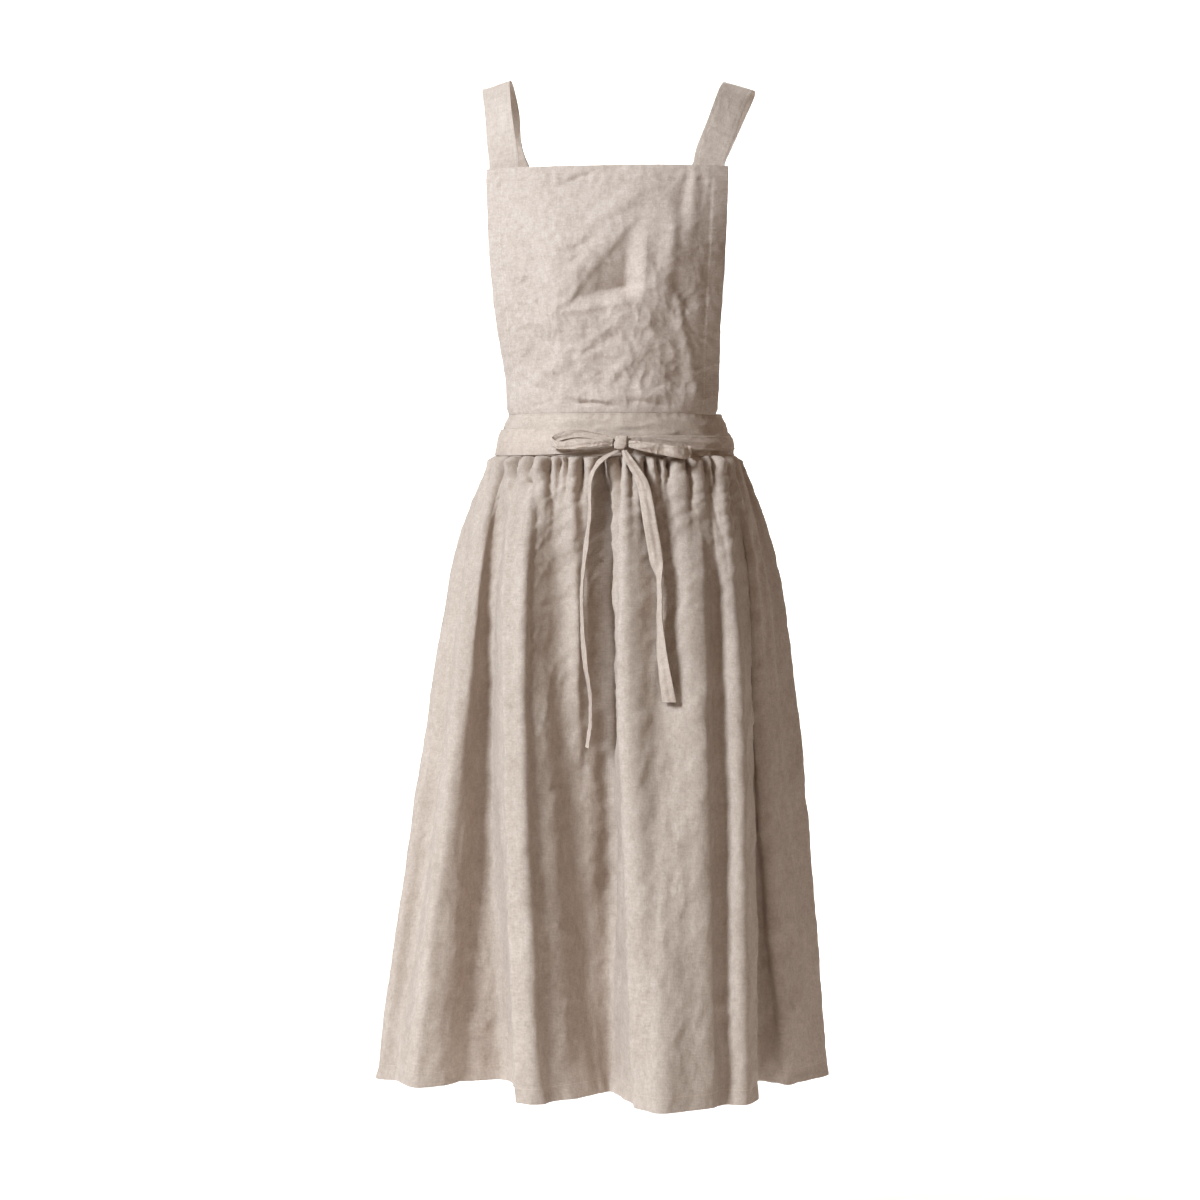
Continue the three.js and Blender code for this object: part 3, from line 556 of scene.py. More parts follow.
# %% The hanging skirt without gathers
def skirt_base(place, down):
    angle = along(FOLD_PLACE, np.array(column(FOLDS, "waist")) * BACK_ANGLE / HALF_SPAN, place)
    waist = waist_point(angle, WAIST_BOTTOM, 0)
    middle_x = curve(FOLD_PLACE, FOLDS, "mid_x", place) * MIDDLE_WIDTH / 2
    middle_y = curve(FOLD_PLACE, FOLDS, "mid_y", place) * FOLD_DEPTH
    hem_x = curve(FOLD_PLACE, FOLDS, "hem_x", place) * HEM_WIDTH / 2
    hem_y = curve(FOLD_PLACE, FOLDS, "hem_y", place) * FOLD_DEPTH
    share = down / SKIRT_LENGTH
    flare = (1 - np.exp(-UPPER_FLARE * share**UPPER_POWER)) / (1 - math.exp(-UPPER_FLARE))
    lower = np.maximum(0, (share - LOWER_START) / (1 - LOWER_START)) ** LOWER_POWER
    x = mix(waist[..., 0], middle_x, flare) + (hem_x - middle_x) * lower
    y = mix(waist[..., 1], middle_y, flare) + (hem_y - middle_y) * lower
    return np.stack([x, y, SKIRT_TOP - down], axis=-1)


probe = np.linspace(0, SKIRT_SPAN, 2000)
hem_line = skirt_base(probe, np.full_like(probe, SKIRT_LENGTH))
hem_run = np.concatenate([[0], np.cumsum(np.linalg.norm(np.diff(hem_line, axis=0), axis=1))])
HEM_LENGTH = float(hem_run[-1])
even = 0.45 * hem_run / HEM_LENGTH + 0.55 * probe / SKIRT_SPAN
print("the hem is", round(HEM_LENGTH), "mm round")

# %% [markdown]
# The gathers are not all alike. At the front each dark notch between two puffs has its own
# place, depth and length, read off the cloth; round the sides and back they are spread at
# random. Below them stand the long crests. A crest is steep on one side and slack on the
# other, because the cloth leans over as it hangs, and that is what draws the sharp lines.

# %% Gathers and crests
NOTCHES = named_rows(
    "at deep long wide",
    (-81, 4, 50, 3),
    (-69, 5, 60, 3.2),
    (-54.4, 6.5, 75, 3.6),
    (-44, 5, 38, 3),
    (-36.2, 7, 34, 5),
    (-26.6, 6.5, 52, 3),
    (-21.1, 5, 44, 2.7),
    (-17.4, 4.5, 56, 2.6),
    (-9.9, 6.5, 95, 3.2),
    (-1.3, 8, 150, 5),
    (8, 6.5, 120, 3),
    (13.2, 4.5, 44, 2.6),
    (19.8, 5.5, 60, 3),
    (25.7, 4.5, 34, 2.6),
    (30.7, 5.5, 48, 3),
    (41.1, 5.5, 54, 3),
    (51, 5.5, 80, 3),
    (56.8, 4.5, 44, 2.6),
    (67.3, 5.5, 66, 3),
    (79.2, 4.5, 44, 3),
)
CRESTS = named_rows(
    "top middle hem start end tall left right",
    (-84, -84, -86, 60, 700, 3, 14, 9),
    (-78, -76, -79, 40, 640, -4.5, 15, 10),
    (-72, -64.5, -66, 14, 760, 7, 26, 7),
    (-49, -52.5, -56, 10, 760, -8, 13, 15),
    (-41.5, -38.5, -37.5, 10, 760, 8, 11, 7),
    (-31, -31, -30, 30, 760, -9, 8, 22),
    (-20, -18, -14, 50, 700, -10, 24, 26),
    (-14, -14, -13, 8, 360, 6, 10, 6),
    (-6, -6, -6, 20, 330, -4, 7, 9),
    (0, 0.5, 1, 6, 560, -12, 14, 5),
    (3.3, 6, 8, 8, 240, 4.5, 3.5, 3.5),
    (8, 8, 8, 4, 190, -3.5, 3, 3),
    (11.6, 9.5, 10, 8, 760, 7, 5.5, 20),
    (42, 39, 43, 60, 760, 6.5, 24, 5.5),
    (49, 47, 50, 80, 760, -4, 6, 10),
    (70, 64.5, 62, 50, 760, 6, 15, 4.5),
    (76, 73, 78, 50, 760, 5.5, 6, 8),
    (85, 85, 88, 60, 700, 3.5, 10, 8),
    (104, 102, 104, 30, 760, 5, 14, 8),
    (116, 117, 116, 20, 760, -5, 10, 12),
    (129, 127, 128, 20, 760, 6, 16, 8),
    (146, 147, 145, 20, 600, 5, 8, 14),
    (-104, -101, -103, 30, 760, 5, 8, 14),
    (-114, -113, -115, 20, 760, -5, 12, 10),
    (-127, -129, -128, 20, 760, 6, 8, 16),
    (-149, -147, -148, 20, 560, 5, 14, 8),
)
SKIRT_CREASES = named_rows(
    "x1 s1 x2 s2 wide tall",
    (13.5, 560, 23.5, 548, 3, 1.6),
    (23.5, 548, 38, 575, 3, 1.8),
    (38, 574, 59, 590, 3, 1.6),
    (-57, 636, -42, 585, 3.2, 1.6),
    (-50, 146, -45, 122, 3, 1.8),
    (30, 136, 36.5, 135, 3, 1.8),
    (-40, 25, -28, 29, 3.5, -5),
    (-41, 13, -29, 16, 4.5, 4.5),
    (-34, 30, -29, 70, 4, -3.5),
    (62, 20, 76, 52, 4, 1.8),
    (-66, 110, -58, 60, 5, 2),
    (-24, 250, -14, 215, 4, 1.2),
    (16, 380, 34, 420, 5, 1),
    (-36, 470, -14, 520, 5, 1),
    (-72, 430, -50, 500, 6, 1.2),
    (44, 300, 60, 350, 5, 1.1),
)
puffs = np.random.RandomState(5)
for side in (-1, 1):
    at = 90
    while at < 162:
        deep, reach = 4 + 2.5 * puffs.rand(), 35 + 60 * puffs.rand()
        NOTCHES.append({"at": side * at, "deep": deep, "long": reach, "wide": 2.8})
        at += 6.5 + 4 * puffs.rand()
NOTCHES.sort(key=lambda row: row["at"])
for k in range(60):
    at = -160 + 320 * (k + puffs.rand()) / 60
    begin = 500 * puffs.rand() ** 1.5
    reach = 120 + 300 * puffs.rand()
    left, right = 5 + 9 * puffs.rand(2)
    middle, hem = at + 2 * puffs.randn(), at + 3 * puffs.randn()
    tall = 0.8 + 1.4 * puffs.rand()
    CRESTS.append({"top": at, "middle": middle, "hem": hem, "start": begin, "end": begin + reach,
                   "tall": tall, "left": left, "right": right})
print(len(NOTCHES), "notches and", len(CRESTS), "crests")


# %% The finished skirt
ROWS_DOWN = np.linspace(0, SKIRT_LENGTH, 240)
RUN_PLACE = np.linspace(0, SKIRT_SPAN, 700)
SIDE_MIDDLE, SIDE_REACH = 168, 88
run_points = skirt_base(*np.meshgrid(RUN_PLACE, ROWS_DOWN, indexing="ij"))
run_steps = np.linalg.norm(np.diff(run_points, axis=0), axis=2)
RUN = np.concatenate([np.zeros((1, 240)), np.cumsum(run_steps, axis=0)])


def run_at(place, down):
    """Millimetres of cloth from the left back edge at a height of the hanging skirt."""
    i = np.clip(place / SKIRT_SPAN * 699, 0, 698.999)
    j = np.clip(down / SKIRT_LENGTH * 239, 0, 238.999)
    a, b = i.astype(int), j.astype(int)
    s, t = i - a, j - b
    low = mix(RUN[a, b], RUN[a + 1, b], s)
    high = mix(RUN[a, b + 1], RUN[a + 1, b + 1], s)
    return mix(low, high, t)


def gathered(place, down, run):
    relief = np.zeros_like(run)
    lines = [run_at(np.full_like(down, row["at"] + HALF_SPAN), down) for row in NOTCHES]
    for row, line in zip(NOTCHES, lines):
        drift = 3 * noise(down / 34, row["at"], 31) + 0.1 * down * math.sin(1.7 * row["at"])
        off = run - line + drift * smooth(0, 30, down)
        fade = np.exp(-((down / row["long"]) ** 1.4))
        cut = np.exp(-((np.abs(off) / (row["wide"] * (1 + down / 80))) ** 1.3))
        pit = 0.8 * row["deep"] * bell(down, 0, 13)
        relief -= (1.5 * row["deep"] * fade + pit) * cut
    for left, right, row in zip(lines[:-1], lines[1:], NOTCHES):
        share = np.clip((run - left) / np.maximum(right - left, 1), 0, 1)
        tall = 0.34 * np.minimum(right - left, 22) * (0.75 + 0.5 * math.sin(row["at"]))
        puff = 0.16 * np.minimum(right - left, 20) * bell(down, 7, 9)
        tall = tall * np.exp(-down / (row["long"] * 0.9)) + puff
        relief += tall * (1 - np.abs(2 * share - 1) ** 2.4)
    beside = bell(np.abs(place - SIDE_MIDDLE), SIDE_REACH, 14)
    return relief * (0.22 + 0.78 * smooth(0, 8, down)) * (1 - 0.55 * beside)


def crested(place, down, run):
    relief = np.zeros_like(run)
    for row in CRESTS:
        at = np.interp(down, [0, 300, SKIRT_LENGTH], [row["top"], row["middle"], row["hem"]])
        off = run - run_at(at + HALF_SPAN, down) + 2.5 * noise(down / 90, row["top"], 44)
        flank = np.where(off < 0, row["left"], row["right"])
        grow = smooth(row["start"], row["start"] + 70, down)
        grow = grow * smooth(row["end"], row["end"] - 110, down)
        relief += row["tall"] * grow * bell(off, 0, flank)
    return relief


def skirt_at(place, down):
    tucked = np.maximum(-down, 0)
    down = np.maximum(down, 0)
    points = skirt_base(place, down)
    points[..., 2] += tucked
    face = outward(points)
    run = run_at(place, down)
    relief = gathered(place, down, run) + crested(place, down, run)
    low = smooth(40, 200, down)
    relief += low * (1.2 * noise(run / 55, down / 260, 33) + 0.8 * noise(run / 26, down / 120, 34))
    worn = 0.9 * noise(run / 30, down / 34, 35) + 0.8 * creases(run, down, 21, 40, 0.2)
    worn += 0.9 * creases(run, down, 46, 36, 0.6) + 0.9 * creases(run, down, 34, 38, -0.8)
    worn += 0.5 * creases(run, down, 13, 48, 1.3) + 0.3 * noise(run / 9, down / 12, 49)
    seam_wear = 1.1 * noise(run / 9, down / 26, 51) + 0.9 * creases(run, down * 0.5, 12, 52, 0.3)
    worn += smooth(110, 20, down) * seam_wear
    outline = bell(np.abs(place - SIDE_MIDDLE), SIDE_REACH, 9)
    relief += worn * (1 - 0.75 * outline)
    for crease in SKIRT_CREASES:
        line = dict(crease)
        for end in ("1", "2"):
            place_there = np.array([float(crease["x" + end] + HALF_SPAN)])
            at = run_at(place_there, np.array([float(crease["s" + end])]))
            line["x" + end] = float(at[0])
        relief += crease_line(run, down, line)
    rim = SKIRT_LENGTH - down
    relief += 0.7 * smooth(SKIRT_HEM + 1, SKIRT_HEM - 0.6, rim)
    relief += bell(rim, SKIRT_HEM, 5) * (0.5 * np.sin(run / 3.1) - 0.5)
    relief += 1.4 * noise(run / 17, rim / 30, 42) * smooth(30, 0, rim)
    relief = relief * smooth(1.5, 0, tucked) - TUCK_DEPTH * smooth(0, 1.2, tucked)
    return points + face * relief[..., None]


PANELS = named_rows(
    "name from to columns",
    ("skirt_back_left", -165, -93, 160),
    ("skirt_front", -93, 97, 300),
    ("skirt_back_right", 97, 165, 150),
)
SKIRT_ROWS, SKIRT_TUCK = 164, 6


def panel_place(panel):
    ends = np.interp([panel["from"] + HALF_SPAN, panel["to"] + HALF_SPAN], probe, even)

    def place(u, d):
        down = (SKIRT_LENGTH + SKIRT_TUCK) * (0.55 * d + 0.45 * d * d) - SKIRT_TUCK
        return skirt_at(np.interp(mix(ends[0], ends[1], u), even, probe), down)

    return place, (ends[1] - ends[0]) * HEM_LENGTH


for panel in PANELS:
    place, panel_width = panel_place(panel)
    flat = (panel_width * MM, SKIRT_LENGTH * MM)
    piece = cloth_grid(panel["name"], panel["columns"], SKIRT_ROWS, place, flat, 1.4)
    dress(piece, "skirt", SKIRT_LINEN)


# %% [markdown]
# ## The straps
# Each strap is a long band of doubled cloth. It starts behind the bib's top hem, goes over the
# shoulder and down across the back to the far side of the waistband. A smooth path carries the
# middle of the strap and a second direction says which way its width lies. The two straps do
# not hang quite alike, so each has its own tables.

# %% Paths
def smooth_path(knots, count):
    """Points on a smooth curve through the knots, evenly spread."""
    knots = np.array(knots, float)
    steps = np.linalg.norm(np.diff(knots, axis=0), axis=1) ** 0.5
    places = np.concatenate([[0], np.cumsum(steps)])
    fine = np.linspace(0, places[-1], 1200)
    line = np.stack([along(places, knots[:, k], fine) for k in range(3)], axis=1)
    run = np.concatenate([[0], np.cumsum(np.linalg.norm(np.diff(line, axis=0), axis=1))])
    want = np.linspace(0, run[-1], count)
    return np.stack([np.interp(want, run, line[:, k]) for k in range(3)], axis=1), float(run[-1])


def band_place(path, across, width, relief):
    """A place function for a band: u runs along the path and d across the width."""
    shares = np.linspace(0, 1, len(path))
    tangent = np.gradient(path, axis=0)
    face = np.cross(across, tangent)
    face /= np.linalg.norm(face, axis=1, keepdims=True)

    def place(u, d):
        def pick(values):
            return np.stack([np.interp(u, shares, values[:, k]) for k in range(3)], axis=-1)

        half = width(u) / 2
        side = 2 * d - 1
        centre = pick(path) + pick(across) * (side * half)[..., None]
        return centre + pick(face) * relief(u, side)[..., None]

    return place


# %% Straps
STRAP_FRONT_LEFT = named_rows(
    "across depth drop",
    (0.895, -0.54, 0.62),
    (0.94, -0.38, 0.25),
    (0.98, -0.17, 0.05),
    (1, 0.03, 0),
)
STRAP_FRONT_RIGHT = named_rows(
    "across depth drop",
    (0.935, -0.54, 0.62),
    (1, -0.38, 0.28),
    (1.03, -0.17, 0.11),
    (1.04, 0.03, 0.07),
)
STRAP_BACK_LEFT = named_rows(
    "across depth drop",
    (1.005, 0.2, 0.012),
    (1, 0.46, 0.075),
    (0.995, 0.72, 0.19),
    (0.76, 0.9, 0.36),
    (0.37, 0.98, 0.52),
    (0, 1, 0.68),
    (-0.23, 0.93, 0.81),
    (-0.35, 0.82, 0.9),
)
STRAP_BACK_RIGHT = named_rows(
    "across depth drop",
    (1.025, 0.2, 0.028),
    (0.925, 0.46, 0.085),
    (0.76, 0.72, 0.19),
    (0.51, 0.9, 0.36),
    (0.255, 0.98, 0.52),
    (0, 1, 0.68),
    (-0.23, 0.93, 0.81),
    (-0.35, 0.82, 0.9),
)


def strap_knots(side, lift, front_table, back_table):
    knots = []
    for drop in (STRAP_SEAM + 6, 0):
        across = 2 * side * STRAP_BASE / BIB_TOP_WIDTH
        ends = bib_base(np.array([across - 0.05, across, across + 0.05]), np.full(3, drop / BIB_HEIGHT))
        slope = ends[2] - ends[0]
        inward = np.array([-slope[1], slope[0], 0]) / math.hypot(slope[0], slope[1])
        point = ends[1] + inward * 4.5
        knots.append((point[0] * side, point[1], point[2]))
    for row in front_table:
        knots.append((row["across"] * STRAP_SPREAD, row["depth"] * BACK_DEPTH, -row["drop"] * BIB_DROP))
    for row in back_table:
        over = float(smooth(0.45, 0.6, row["drop"]) * smooth(0.95, 0.75, row["drop"])) * lift
        depth = row["depth"] * BACK_DEPTH + over
        knots.append((row["across"] * STRAP_SPREAD, depth, row["drop"] * WAIST_TOP))
    seat = 180 + math.degrees(math.asin(2 * STRAP_BACK_SEAT / WAIST_WIDTH))
    for turn, rise in ((-2, STRAP_SEAM), (0, 0), (1, -STRAP_SEAM)):
        knots.append(tuple(waist_point(seat + turn, WAIST_TOP + rise, -4)))
    return knots


def make_strap(node, side, lift, tables, seed):
    path, length = smooth_path(strap_knots(side, lift, *tables), 300)
    share = np.linspace(0, 1, 300)
    lean = path[:, 0] * (0.1 + 0.15 * smooth(0.05, 0.2, share) + 0.38 * smooth(0.8, 0.95, share))
    rise = 150 * smooth(0.08, 0.3, share) * smooth(0.62, 0.36, share)
    face = np.stack([lean, path[:, 1], rise], axis=1)
    across = np.cross(np.gradient(path, axis=0), face)
    across /= np.linalg.norm(across, axis=1, keepdims=True)
    path = path * (side, 1, 1)
    across = across * (side, 1, 1) * side

    def relief(u, d):
        run = u * length
        rim = (1 - np.abs(d)) * STRAP_WIDTH / 2
        out = 0.5 * noise(run / 26, d * 0.8, seed) + 0.35 * creases(run, d * 16, 18, seed + 2, 0.3)
        out = out + 0.35 * np.sin(run / 2) * bell(rim, 3, 1.4) * 0.5
        return out - 0.35 * bell(rim, 3, 0.9) - 0.5 * smooth(1.6, 0, rim)

    place = band_place(path, across, lambda u: STRAP_WIDTH + 0 * u, relief)
    strap = cloth_grid(f"{node}_cloth", 380, 22, place, (length * MM, STRAP_WIDTH * MM), 2.0)
    dress(strap, node, STRAP_LINEN)
    print(node, "is", round(length), "mm long")


make_strap("strap_left", -1, 0, (STRAP_FRONT_LEFT, STRAP_BACK_LEFT), 50)
make_strap("strap_right", 1, 4, (STRAP_FRONT_RIGHT, STRAP_BACK_RIGHT), 60)

# %% [markdown]
# ## The ties
# The ties are sewn to the back ends of the waistband, cross behind and come round to the
# front. The left one still lies flat when it reaches the knot; the right one has folded over
# to half its width. Both are bands on the waist ring, a little outside the waistband.

# %% Ties round the waist
LEFT_TIE = named_rows(
    "angle rise tall",
    (154, 0.3, 0.5),
    (166, 0.3, 0.5),
    (194, 0.29, 0.5),
    (206, 0.3, 0.52),
    (232, 0.335, 0.95),
    (270, 0.325, 1),
    (318, 0.325, 1),
    (342, 0.33, 0.9),
    (356, 0.32, 0.6),
    (365, 0.31, 0.36),
)
RIGHT_TIE = named_rows(
    "angle rise tall",
    (-154, 0.73, 0.5),
    (-166, 0.73, 0.5),
    (-194, 0.74, 0.5),
    (-206, 0.7, 0.5),
    (-236, 0.5, 0.56),
    (-270, 0.33, 0.57),
    (-300, 0.3, 0.57),
    (-330, 0.32, 0.52),
    (-347, 0.32, 0.4),
)


TIE_RING = 690


def make_tie(node, table, direction, seed):
    places = [row["angle"] * direction for row in table]
    length = (places[-1] - places[0]) / 360 * TIE_RING

    def place(u, d):
        at = mix(places[0], places[-1], u)
        rise = curve(places, table, "rise", at) * WAISTBAND_HEIGHT
        half = curve(places, table, "tall", at) * TIE_WIDTH / 2
        side = -direction * (2 * d - 1)
        z = WAIST_BOTTOM + rise + side * half
        run = u * length
        rim = (1 - np.abs(2 * d - 1)) * half
        out = 1.9 + 0.8 * (0.5 + 0.5 * noise(run / 30, d * 2, seed))
        out = out + 0.6 * creases(run, d * 26, 20, seed + 2, 0.1)
        out = out + 0.9 * bell(side, 0.1, 0.35) * smooth(16, 10, half)
        out = out - 0.5 * bell(rim, 2.5, 0.9) * smooth(6, 9, half)
        out = out - 0.7 * smooth(1.5, 0, rim)
        return waist_point(at * direction, z, out)

    tie = cloth_grid(f"{node}_cloth", 420, 22, place, (length * MM, TIE_WIDTH * MM), 1.3)
    dress(tie, node, TIE_LINEN)


make_tie("tie_wrap_left", LEFT_TIE, 1, 70)
make_tie("tie_wrap_right", RIGHT_TIE, -1, 76)

# %% [markdown]
# ## The bow
# The knot is a small lump of cloth with a fold wrapped over it. The two loops are bands that
# go out and come back in front of themselves; the tails hang down over the skirt's folds.

# %% The knot
KNOT_X, KNOT_WIDTH, KNOT_HEIGHT, KNOT_DEPTH = 20, 15, 16, 10
KNOT_Z = WAIST_BOTTOM + 0.31 * WAISTBAND_HEIGHT
KNOT_ANGLE = math.degrees(math.asin((KNOT_X - KNOT_WIDTH / 3) * 2 / WAIST_WIDTH))
KNOT_Y = float(waist_point(KNOT_ANGLE, KNOT_Z, GAP + KNOT_DEPTH / 2)[1])

bpy.ops.mesh.primitive_uv_sphere_add(segments=64, ring_count=40, radius=0.5)
knot = bpy.context.object
knot.name = knot.data.name = "bow_knot_cloth"
ball = read_points(knot.data)
ball = ball * (1 / (np.abs(ball).max(axis=1, keepdims=True) * 2) * 0.42 + 0.58)
wrap = ball[:, 0] * 0.55 + ball[:, 2]
groove = bell(wrap, -0.12, 0.07) + 0.6 * bell(wrap, 0.34, 0.05)
ball = ball * (1 - 0.14 * groove - 0.05 * noise(ball[:, 0] * 5, ball[:, 2] * 7, 80))[:, None]
ball = ball * (KNOT_WIDTH, KNOT_DEPTH, KNOT_HEIGHT)
ball[:, 0] += 0.15 * ball[:, 2]
knot.data.vertices.foreach_set("co", ((ball + (KNOT_X, KNOT_Y, KNOT_Z)) * MM).ravel())
spread = np.empty(len(knot.data.loops) * 2)
knot.data.uv_layers[0].data.foreach_get("uv", spread)
knot.data.uv_layers[0].data.foreach_set("uv", spread * 0.045)
knot.data.update()
bpy.ops.object.shade_smooth()
dress(knot, "bow_knot", TIE_LINEN)
print("knot at", round(KNOT_X), round(KNOT_Y), round(KNOT_Z), "mm")


# %% How far forward the cloth stands
REACH_DOWN = np.linspace(0, SKIRT_LENGTH, 260)
REACH_POINTS = skirt_at(*np.meshgrid(np.linspace(65, 265, 560), REACH_DOWN, indexing="ij"))


def front_reach(x, z, span):
    """The most forward place of waistband and skirt near a place on the front."""
    sine = min(0.98, max(0, abs(x) - span) * 2 / WAIST_WIDTH)
    reach = float(waist_point(math.degrees(math.asin(sine)), max(z, WAIST_BOTTOM), 0)[1])
    if z > SKIRT_TOP:
        return reach
    down = SKIRT_TOP - z
    j = int(np.clip(round(down / SKIRT_LENGTH * (len(REACH_DOWN) - 1)), 0, len(REACH_DOWN) - 1))
    near = np.abs(REACH_POINTS[:, j, 0] - x) < span
    skirt_reach = float(REACH_POINTS[near, j, 1].min()) if near.any() else 0.0
    return min(reach * (1 - float(smooth(0, 16, down))), skirt_reach)


# %% The loops
LOOP_LENGTH, LOOP_DEPTH, LOOP_BAND, LOOP_STEPS = 66, 9, 14, 41
LEFT_LOOP = named_rows(
    "reach out rise tall",
    (0, 0, 0.1, 0.55),
    (0.2, -0.1, 0.42, 0.55),
    (0.55, -0.05, 0.68, 0.62),
    (0.84, 0.05, 0.5, 0.66),
    (1, 0.5, 0.08, 0.7),
    (0.88, 0.95, -0.2, 0.6),
    (0.55, 1.05, -0.16, 0.62),
    (0.22, 0.9, -0.05, 0.55),
    (0.01, 0.45, 0, 0.5),
)
RIGHT_LOOP = named_rows(
    "reach out rise tall",
    (0, 0, 0.1, 0.5),
    (0.22, -0.1, 0, 0.8),
    (0.55, 0.05, -0.25, 0.95),
    (0.84, 0.15, -0.5, 0.9),
    (0.98, 0.55, -0.72, 0.72),
    (0.84, 0.95, -0.78, 0.86),
    (0.5, 1.1, -0.5, 0.8),
    (0.2, 0.95, -0.25, 0.7),
    (0.01, 0.45, -0.1, 0.5),
)


def make_loop(node, table, side, seed):
    order = np.arange(len(table))
    bases = []
    for k in np.linspace(0, len(table) - 1, LOOP_STEPS):
        reach = float(curve(order, table, "reach", k)) * LOOP_LENGTH
        tall = float(curve(order, table, "tall", k))
        low = float(curve(order, table, "rise", k)) - tall / 2
        x = KNOT_X + side * (KNOT_WIDTH / 2 + GAP + reach)
        bases.append(front_reach(x, KNOT_Z + low * LOOP_BAND, 4))

    def place(u, d):
        k = u * (len(table) - 1)
        reach = curve(order, table, "reach", k) * LOOP_LENGTH
        out = (0.2 + curve(order, table, "out", k)) * LOOP_DEPTH
        rise = curve(order, table, "rise", k) * LOOP_BAND
        half = curve(order, table, "tall", k) * LOOP_BAND / 2
        x = KNOT_X + side * (KNOT_WIDTH / 2 + GAP + reach)
        y = np.interp(u, np.linspace(0, 1, LOOP_STEPS), bases) - 2 * GAP - 1.6 - out
        across = (2 * d - 1) * side
        bow = 1.6 * (1 - across**2) * smooth(0, 0.2, u) * smooth(1, 0.8, u)
        bow = bow + 1.3 * noise(u * 9, across * 1.2, seed)
        bow = bow + creases(u * 150, across * 8, 12, seed + 1, 0.2)
        y = y + bow * np.where(u < 0.5, 0.5, -1)
        return np.stack([x, y, KNOT_Z + rise + across * half], axis=-1)

    loop = cloth_grid(f"{node}_cloth", 200, 20, place, (0.15, 0.014), 1.2)
    dress(loop, node, TIE_LINEN)


make_loop("bow_loop_left", LEFT_LOOP, -1, 84)
make_loop("bow_loop_right", RIGHT_LOOP, 1, 88)

# %% The tails
TAIL_WIDTH, TAIL_CLEARANCE, TAIL_START = 16, 2.5, 0.03
LEFT_TAIL = named_rows(
    "down side turn wide",
    (0, -4, 8, 0.4),
    (0.03, -20, 24, 0.55),
    (0.09, -31, 60, 0.75),
    (0.22, -34, 68, 0.85),
    (0.36, -40, 64, 0.9),
    (0.5, -43, 70, 0.8),
    (0.7, -40, 62, 0.9),
    (0.85, -35, 68, 0.8),
    (1, -37, 66, 0.75),
)
RIGHT_TAIL = named_rows(
    "down side turn wide",
    (0, 4, 10, 0.4),
    (0.05, 12, 12, 0.65),
    (0.13, 24, 6, 0.8),
    (0.3, 33, 0, 0.9),
    (0.46, 40, 8, 0.9),
    (0.52, 42, 55, 0.8),
    (0.7, 43, 52, 0.75),
    (0.82, 46, 30, 0.85),
    (1, 53, 8, 0.95),
)


def make_tail(node, table, length, seed):
    at = column(table, "down")
    share = np.linspace(0, 1, 60)
    top = KNOT_Z - KNOT_HEIGHT / 2 - GAP
    x = KNOT_X + curve(at, table, "side", share)
    z = top - share * length
    turn = np.radians(curve(at, table, "turn", share))
    wide = curve(at, table, "wide", share) * TAIL_WIDTH
    room = wide / 2 * np.sin(turn) + TAIL_CLEARANCE + 1.6
    spans = [w / 2 * math.cos(angle) + 4 for w, angle in zip(wide, turn)]
    clear = np.array([front_reach(*spot) for spot in zip(x, z, spans)])
    clear = np.minimum(clear, np.minimum(np.roll(clear, 1), np.roll(clear, -1))) - room
    clear = np.convolve(np.pad(clear, 3, mode="edge"), np.ones(7) / 7, mode="valid")
    y = mix(KNOT_Y - KNOT_DEPTH / 4, clear, smooth(0, TAIL_START, share))
    path, run_length = smooth_path(np.stack([x, y, z], axis=1), 260)
    even_share = np.linspace(0, 1, 260)
    turn = np.interp(even_share, share, turn)
    across = np.stack([-np.cos(turn), np.sin(turn), 0 * turn], axis=1)

    def relief(u, d):
        run = u * run_length
        rim = (1 - np.abs(d)) * TAIL_WIDTH / 2
        out = 0.5 * noise(run / 22, d, seed) + 0.5 * creases(run, d * 9, 16, seed + 1, 0.25)
        return out + 0.9 * bell(d, 0.2, 0.3) - 0.6 * smooth(1.4, 0, rim)

    place = band_place(path, across, lambda u: np.interp(u, share, wide), relief)
    tail = cloth_grid(f"{node}_cloth", 300, 16, place, (run_length * MM, TAIL_WIDTH * MM), 1.3)
    dress(tail, node, TIE_LINEN)


make_tail("bow_tail_left", LEFT_TAIL, 314, 92)
make_tail("bow_tail_right", RIGHT_TAIL, 263, 96)

# %% [markdown]
# ## The studio
# The apron hangs in front of a pale sweep: a floor that curves up into a wall, so that no
# line shows behind the cloth. A large soft lamp stands high on the left, a weaker one on the
# right lifts the shadows, and a third whitens the wall. The camera looks from a few degrees
# to the right of the front.

# %% Floor and backdrop
FLOOR_Z = -1.36
bpy.ops.mesh.primitive_plane_add(size=1)
sweep = bpy.context.object
sweep.name = sweep.data.name = "studio_sweep"
for vertex in sweep.data.vertices:
    vertex.co.x = 2.4 * (1 if vertex.co.x > 0 else -1)
    vertex.co.y = 4.2 if vertex.co.y > 0 else -1.4
    vertex.co.z = FLOOR_Z
bpy.ops.object.mode_set(mode="EDIT")
bpy.ops.mesh.select_mode(type="EDGE")
bpy.ops.mesh.select_all(action="DESELECT")
bpy.ops.object.mode_set(mode="OBJECT")
for edge in sweep.data.edges:
    edge.select = all(sweep.data.vertices[v].co.y > 0 for v in edge.vertices)
bpy.ops.object.mode_set(mode="EDIT")
bpy.ops.mesh.extrude_region_move(TRANSFORM_OT_translate={"value": (0, 0, 5.0)})
bpy.ops.object.mode_set(mode="OBJECT")
bpy.ops.object.modifier_add(type="BEVEL")
sweep.modifiers[-1].width = 1.2
sweep.modifiers[-1].segments = 24
sweep.modifiers[-1].limit_method = "ANGLE"
bpy.ops.object.modifier_apply(modifier=sweep.modifiers[-1].name)
bpy.ops.object.shade_smooth()
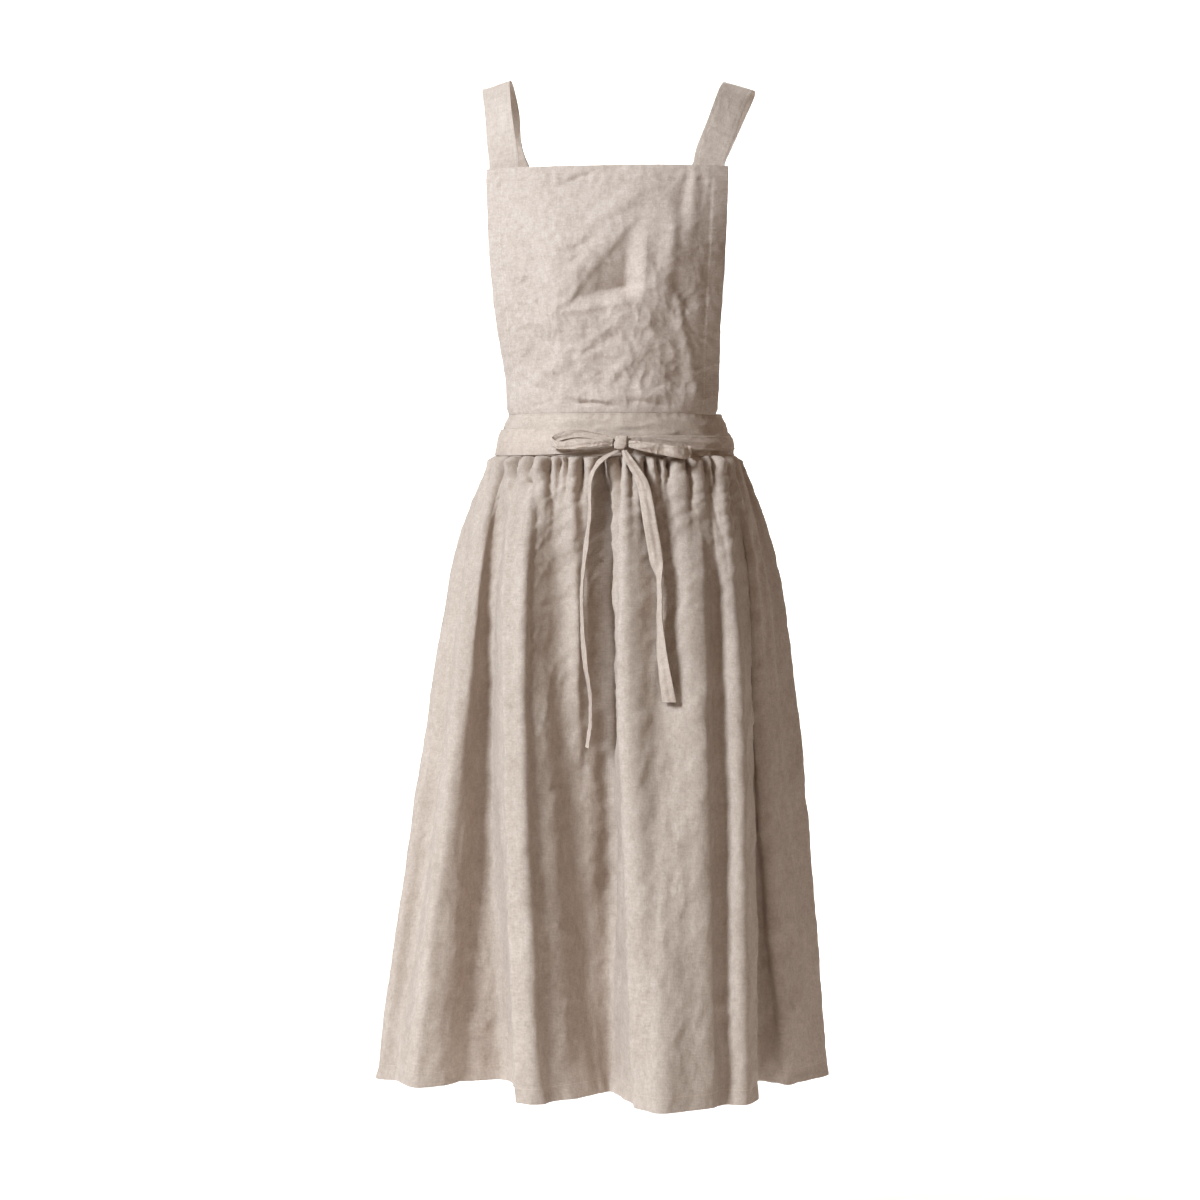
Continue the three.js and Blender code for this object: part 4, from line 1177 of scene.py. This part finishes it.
paper = bpy.data.materials.new("studio_paper")
paper.use_nodes = True
paper_nodes = paper.node_tree.nodes
paper_shader = paper_nodes["Principled BSDF"]
paper_shader.inputs["Roughness"].default_value = 0.95
paper_shader.inputs["Emission Color"].default_value = (1, 1, 1, 1)
paper_shader.inputs["Emission Strength"].default_value = 0.2
paper_grain = paper_nodes.new("ShaderNodeTexNoise")
paper_grain.inputs["Scale"].default_value = 3
paper_ramp = paper_nodes.new("ShaderNodeValToRGB")
paper_ramp.color_ramp.elements[0].color = (0.90, 0.90, 0.90, 1)
paper_ramp.color_ramp.elements[1].color = (0.93, 0.93, 0.93, 1)
paper.node_tree.links.new(paper_grain.outputs["Fac"], paper_ramp.inputs["Fac"])
paper.node_tree.links.new(paper_ramp.outputs["Color"], paper_shader.inputs["Base Color"])
sweep.data.materials.append(paper)


# %% Lamps
def soft_lamp(name, place, aim, size, power, tint=(1, 1, 1)):
    bpy.ops.object.light_add(type="AREA", location=place)
    lamp = bpy.context.object
    lamp.name = name
    lamp.data.shape = "RECTANGLE"
    lamp.data.size, lamp.data.size_y = size
    lamp.data.energy = power
    lamp.data.color = tint
    direction = np.array(aim) - np.array(place)
    tilt = math.atan2(math.hypot(direction[0], direction[1]), -direction[2])
    lamp.rotation_euler = (tilt, 0, math.atan2(direction[1], direction[0]) - math.pi / 2)


soft_lamp("key_lamp", (-2.15, -2.75, 1.5), (0, 0, -0.6), (0.9, 1.2), 185, (0.87, 1.0, 1.13))
soft_lamp("fill_lamp", (0.9, -3.0, 1.5), (0, 0, -0.4), (1.2, 1.0), 12, (1.0, 0.92, 0.84))
soft_lamp("wall_lamp", (0, 2.6, 2.8), (0, 4.2, -0.6), (6.0, 1.4), 190)
world = bpy.data.worlds.new("studio_air")
world.use_nodes = True
world.node_tree.nodes["Background"].inputs["Color"].default_value = (1, 0.70, 0.46, 1)
world.node_tree.nodes["Background"].inputs["Strength"].default_value = 0.15
bpy.context.scene.world = world
bpy.context.scene.view_settings.view_transform = "Standard"
bpy.context.scene.view_settings.gamma = 0.8
bpy.context.scene.view_settings.exposure = 0.22

# %% Camera
VIEW_TURN, VIEW_DISTANCE, VIEW_HEIGHT = math.radians(8), 3.0, -0.41
AIM_SIDE, AIM_HEIGHT, FRAME_WIDTH = -0.0164, -0.559, 1.308
turned_x, turned_y = math.cos(VIEW_TURN), math.sin(VIEW_TURN)
aim = np.array([AIM_SIDE * turned_x, AIM_SIDE * turned_y, AIM_HEIGHT])
step = (VIEW_DISTANCE * turned_y, -VIEW_DISTANCE * turned_x, VIEW_HEIGHT - AIM_HEIGHT)
eye = aim + np.array(step)
bpy.ops.object.camera_add(location=eye)
camera = bpy.context.object
camera.name = "photo_camera"
reach = float(np.linalg.norm(aim - eye))
camera.rotation_euler = (math.pi / 2 - math.asin((VIEW_HEIGHT - AIM_HEIGHT) / reach), 0, VIEW_TURN)
camera.data.sensor_width = 36
camera.data.lens = 36 * reach / FRAME_WIDTH
bpy.context.scene.camera = camera
print("lens", round(camera.data.lens, 1), "mm")
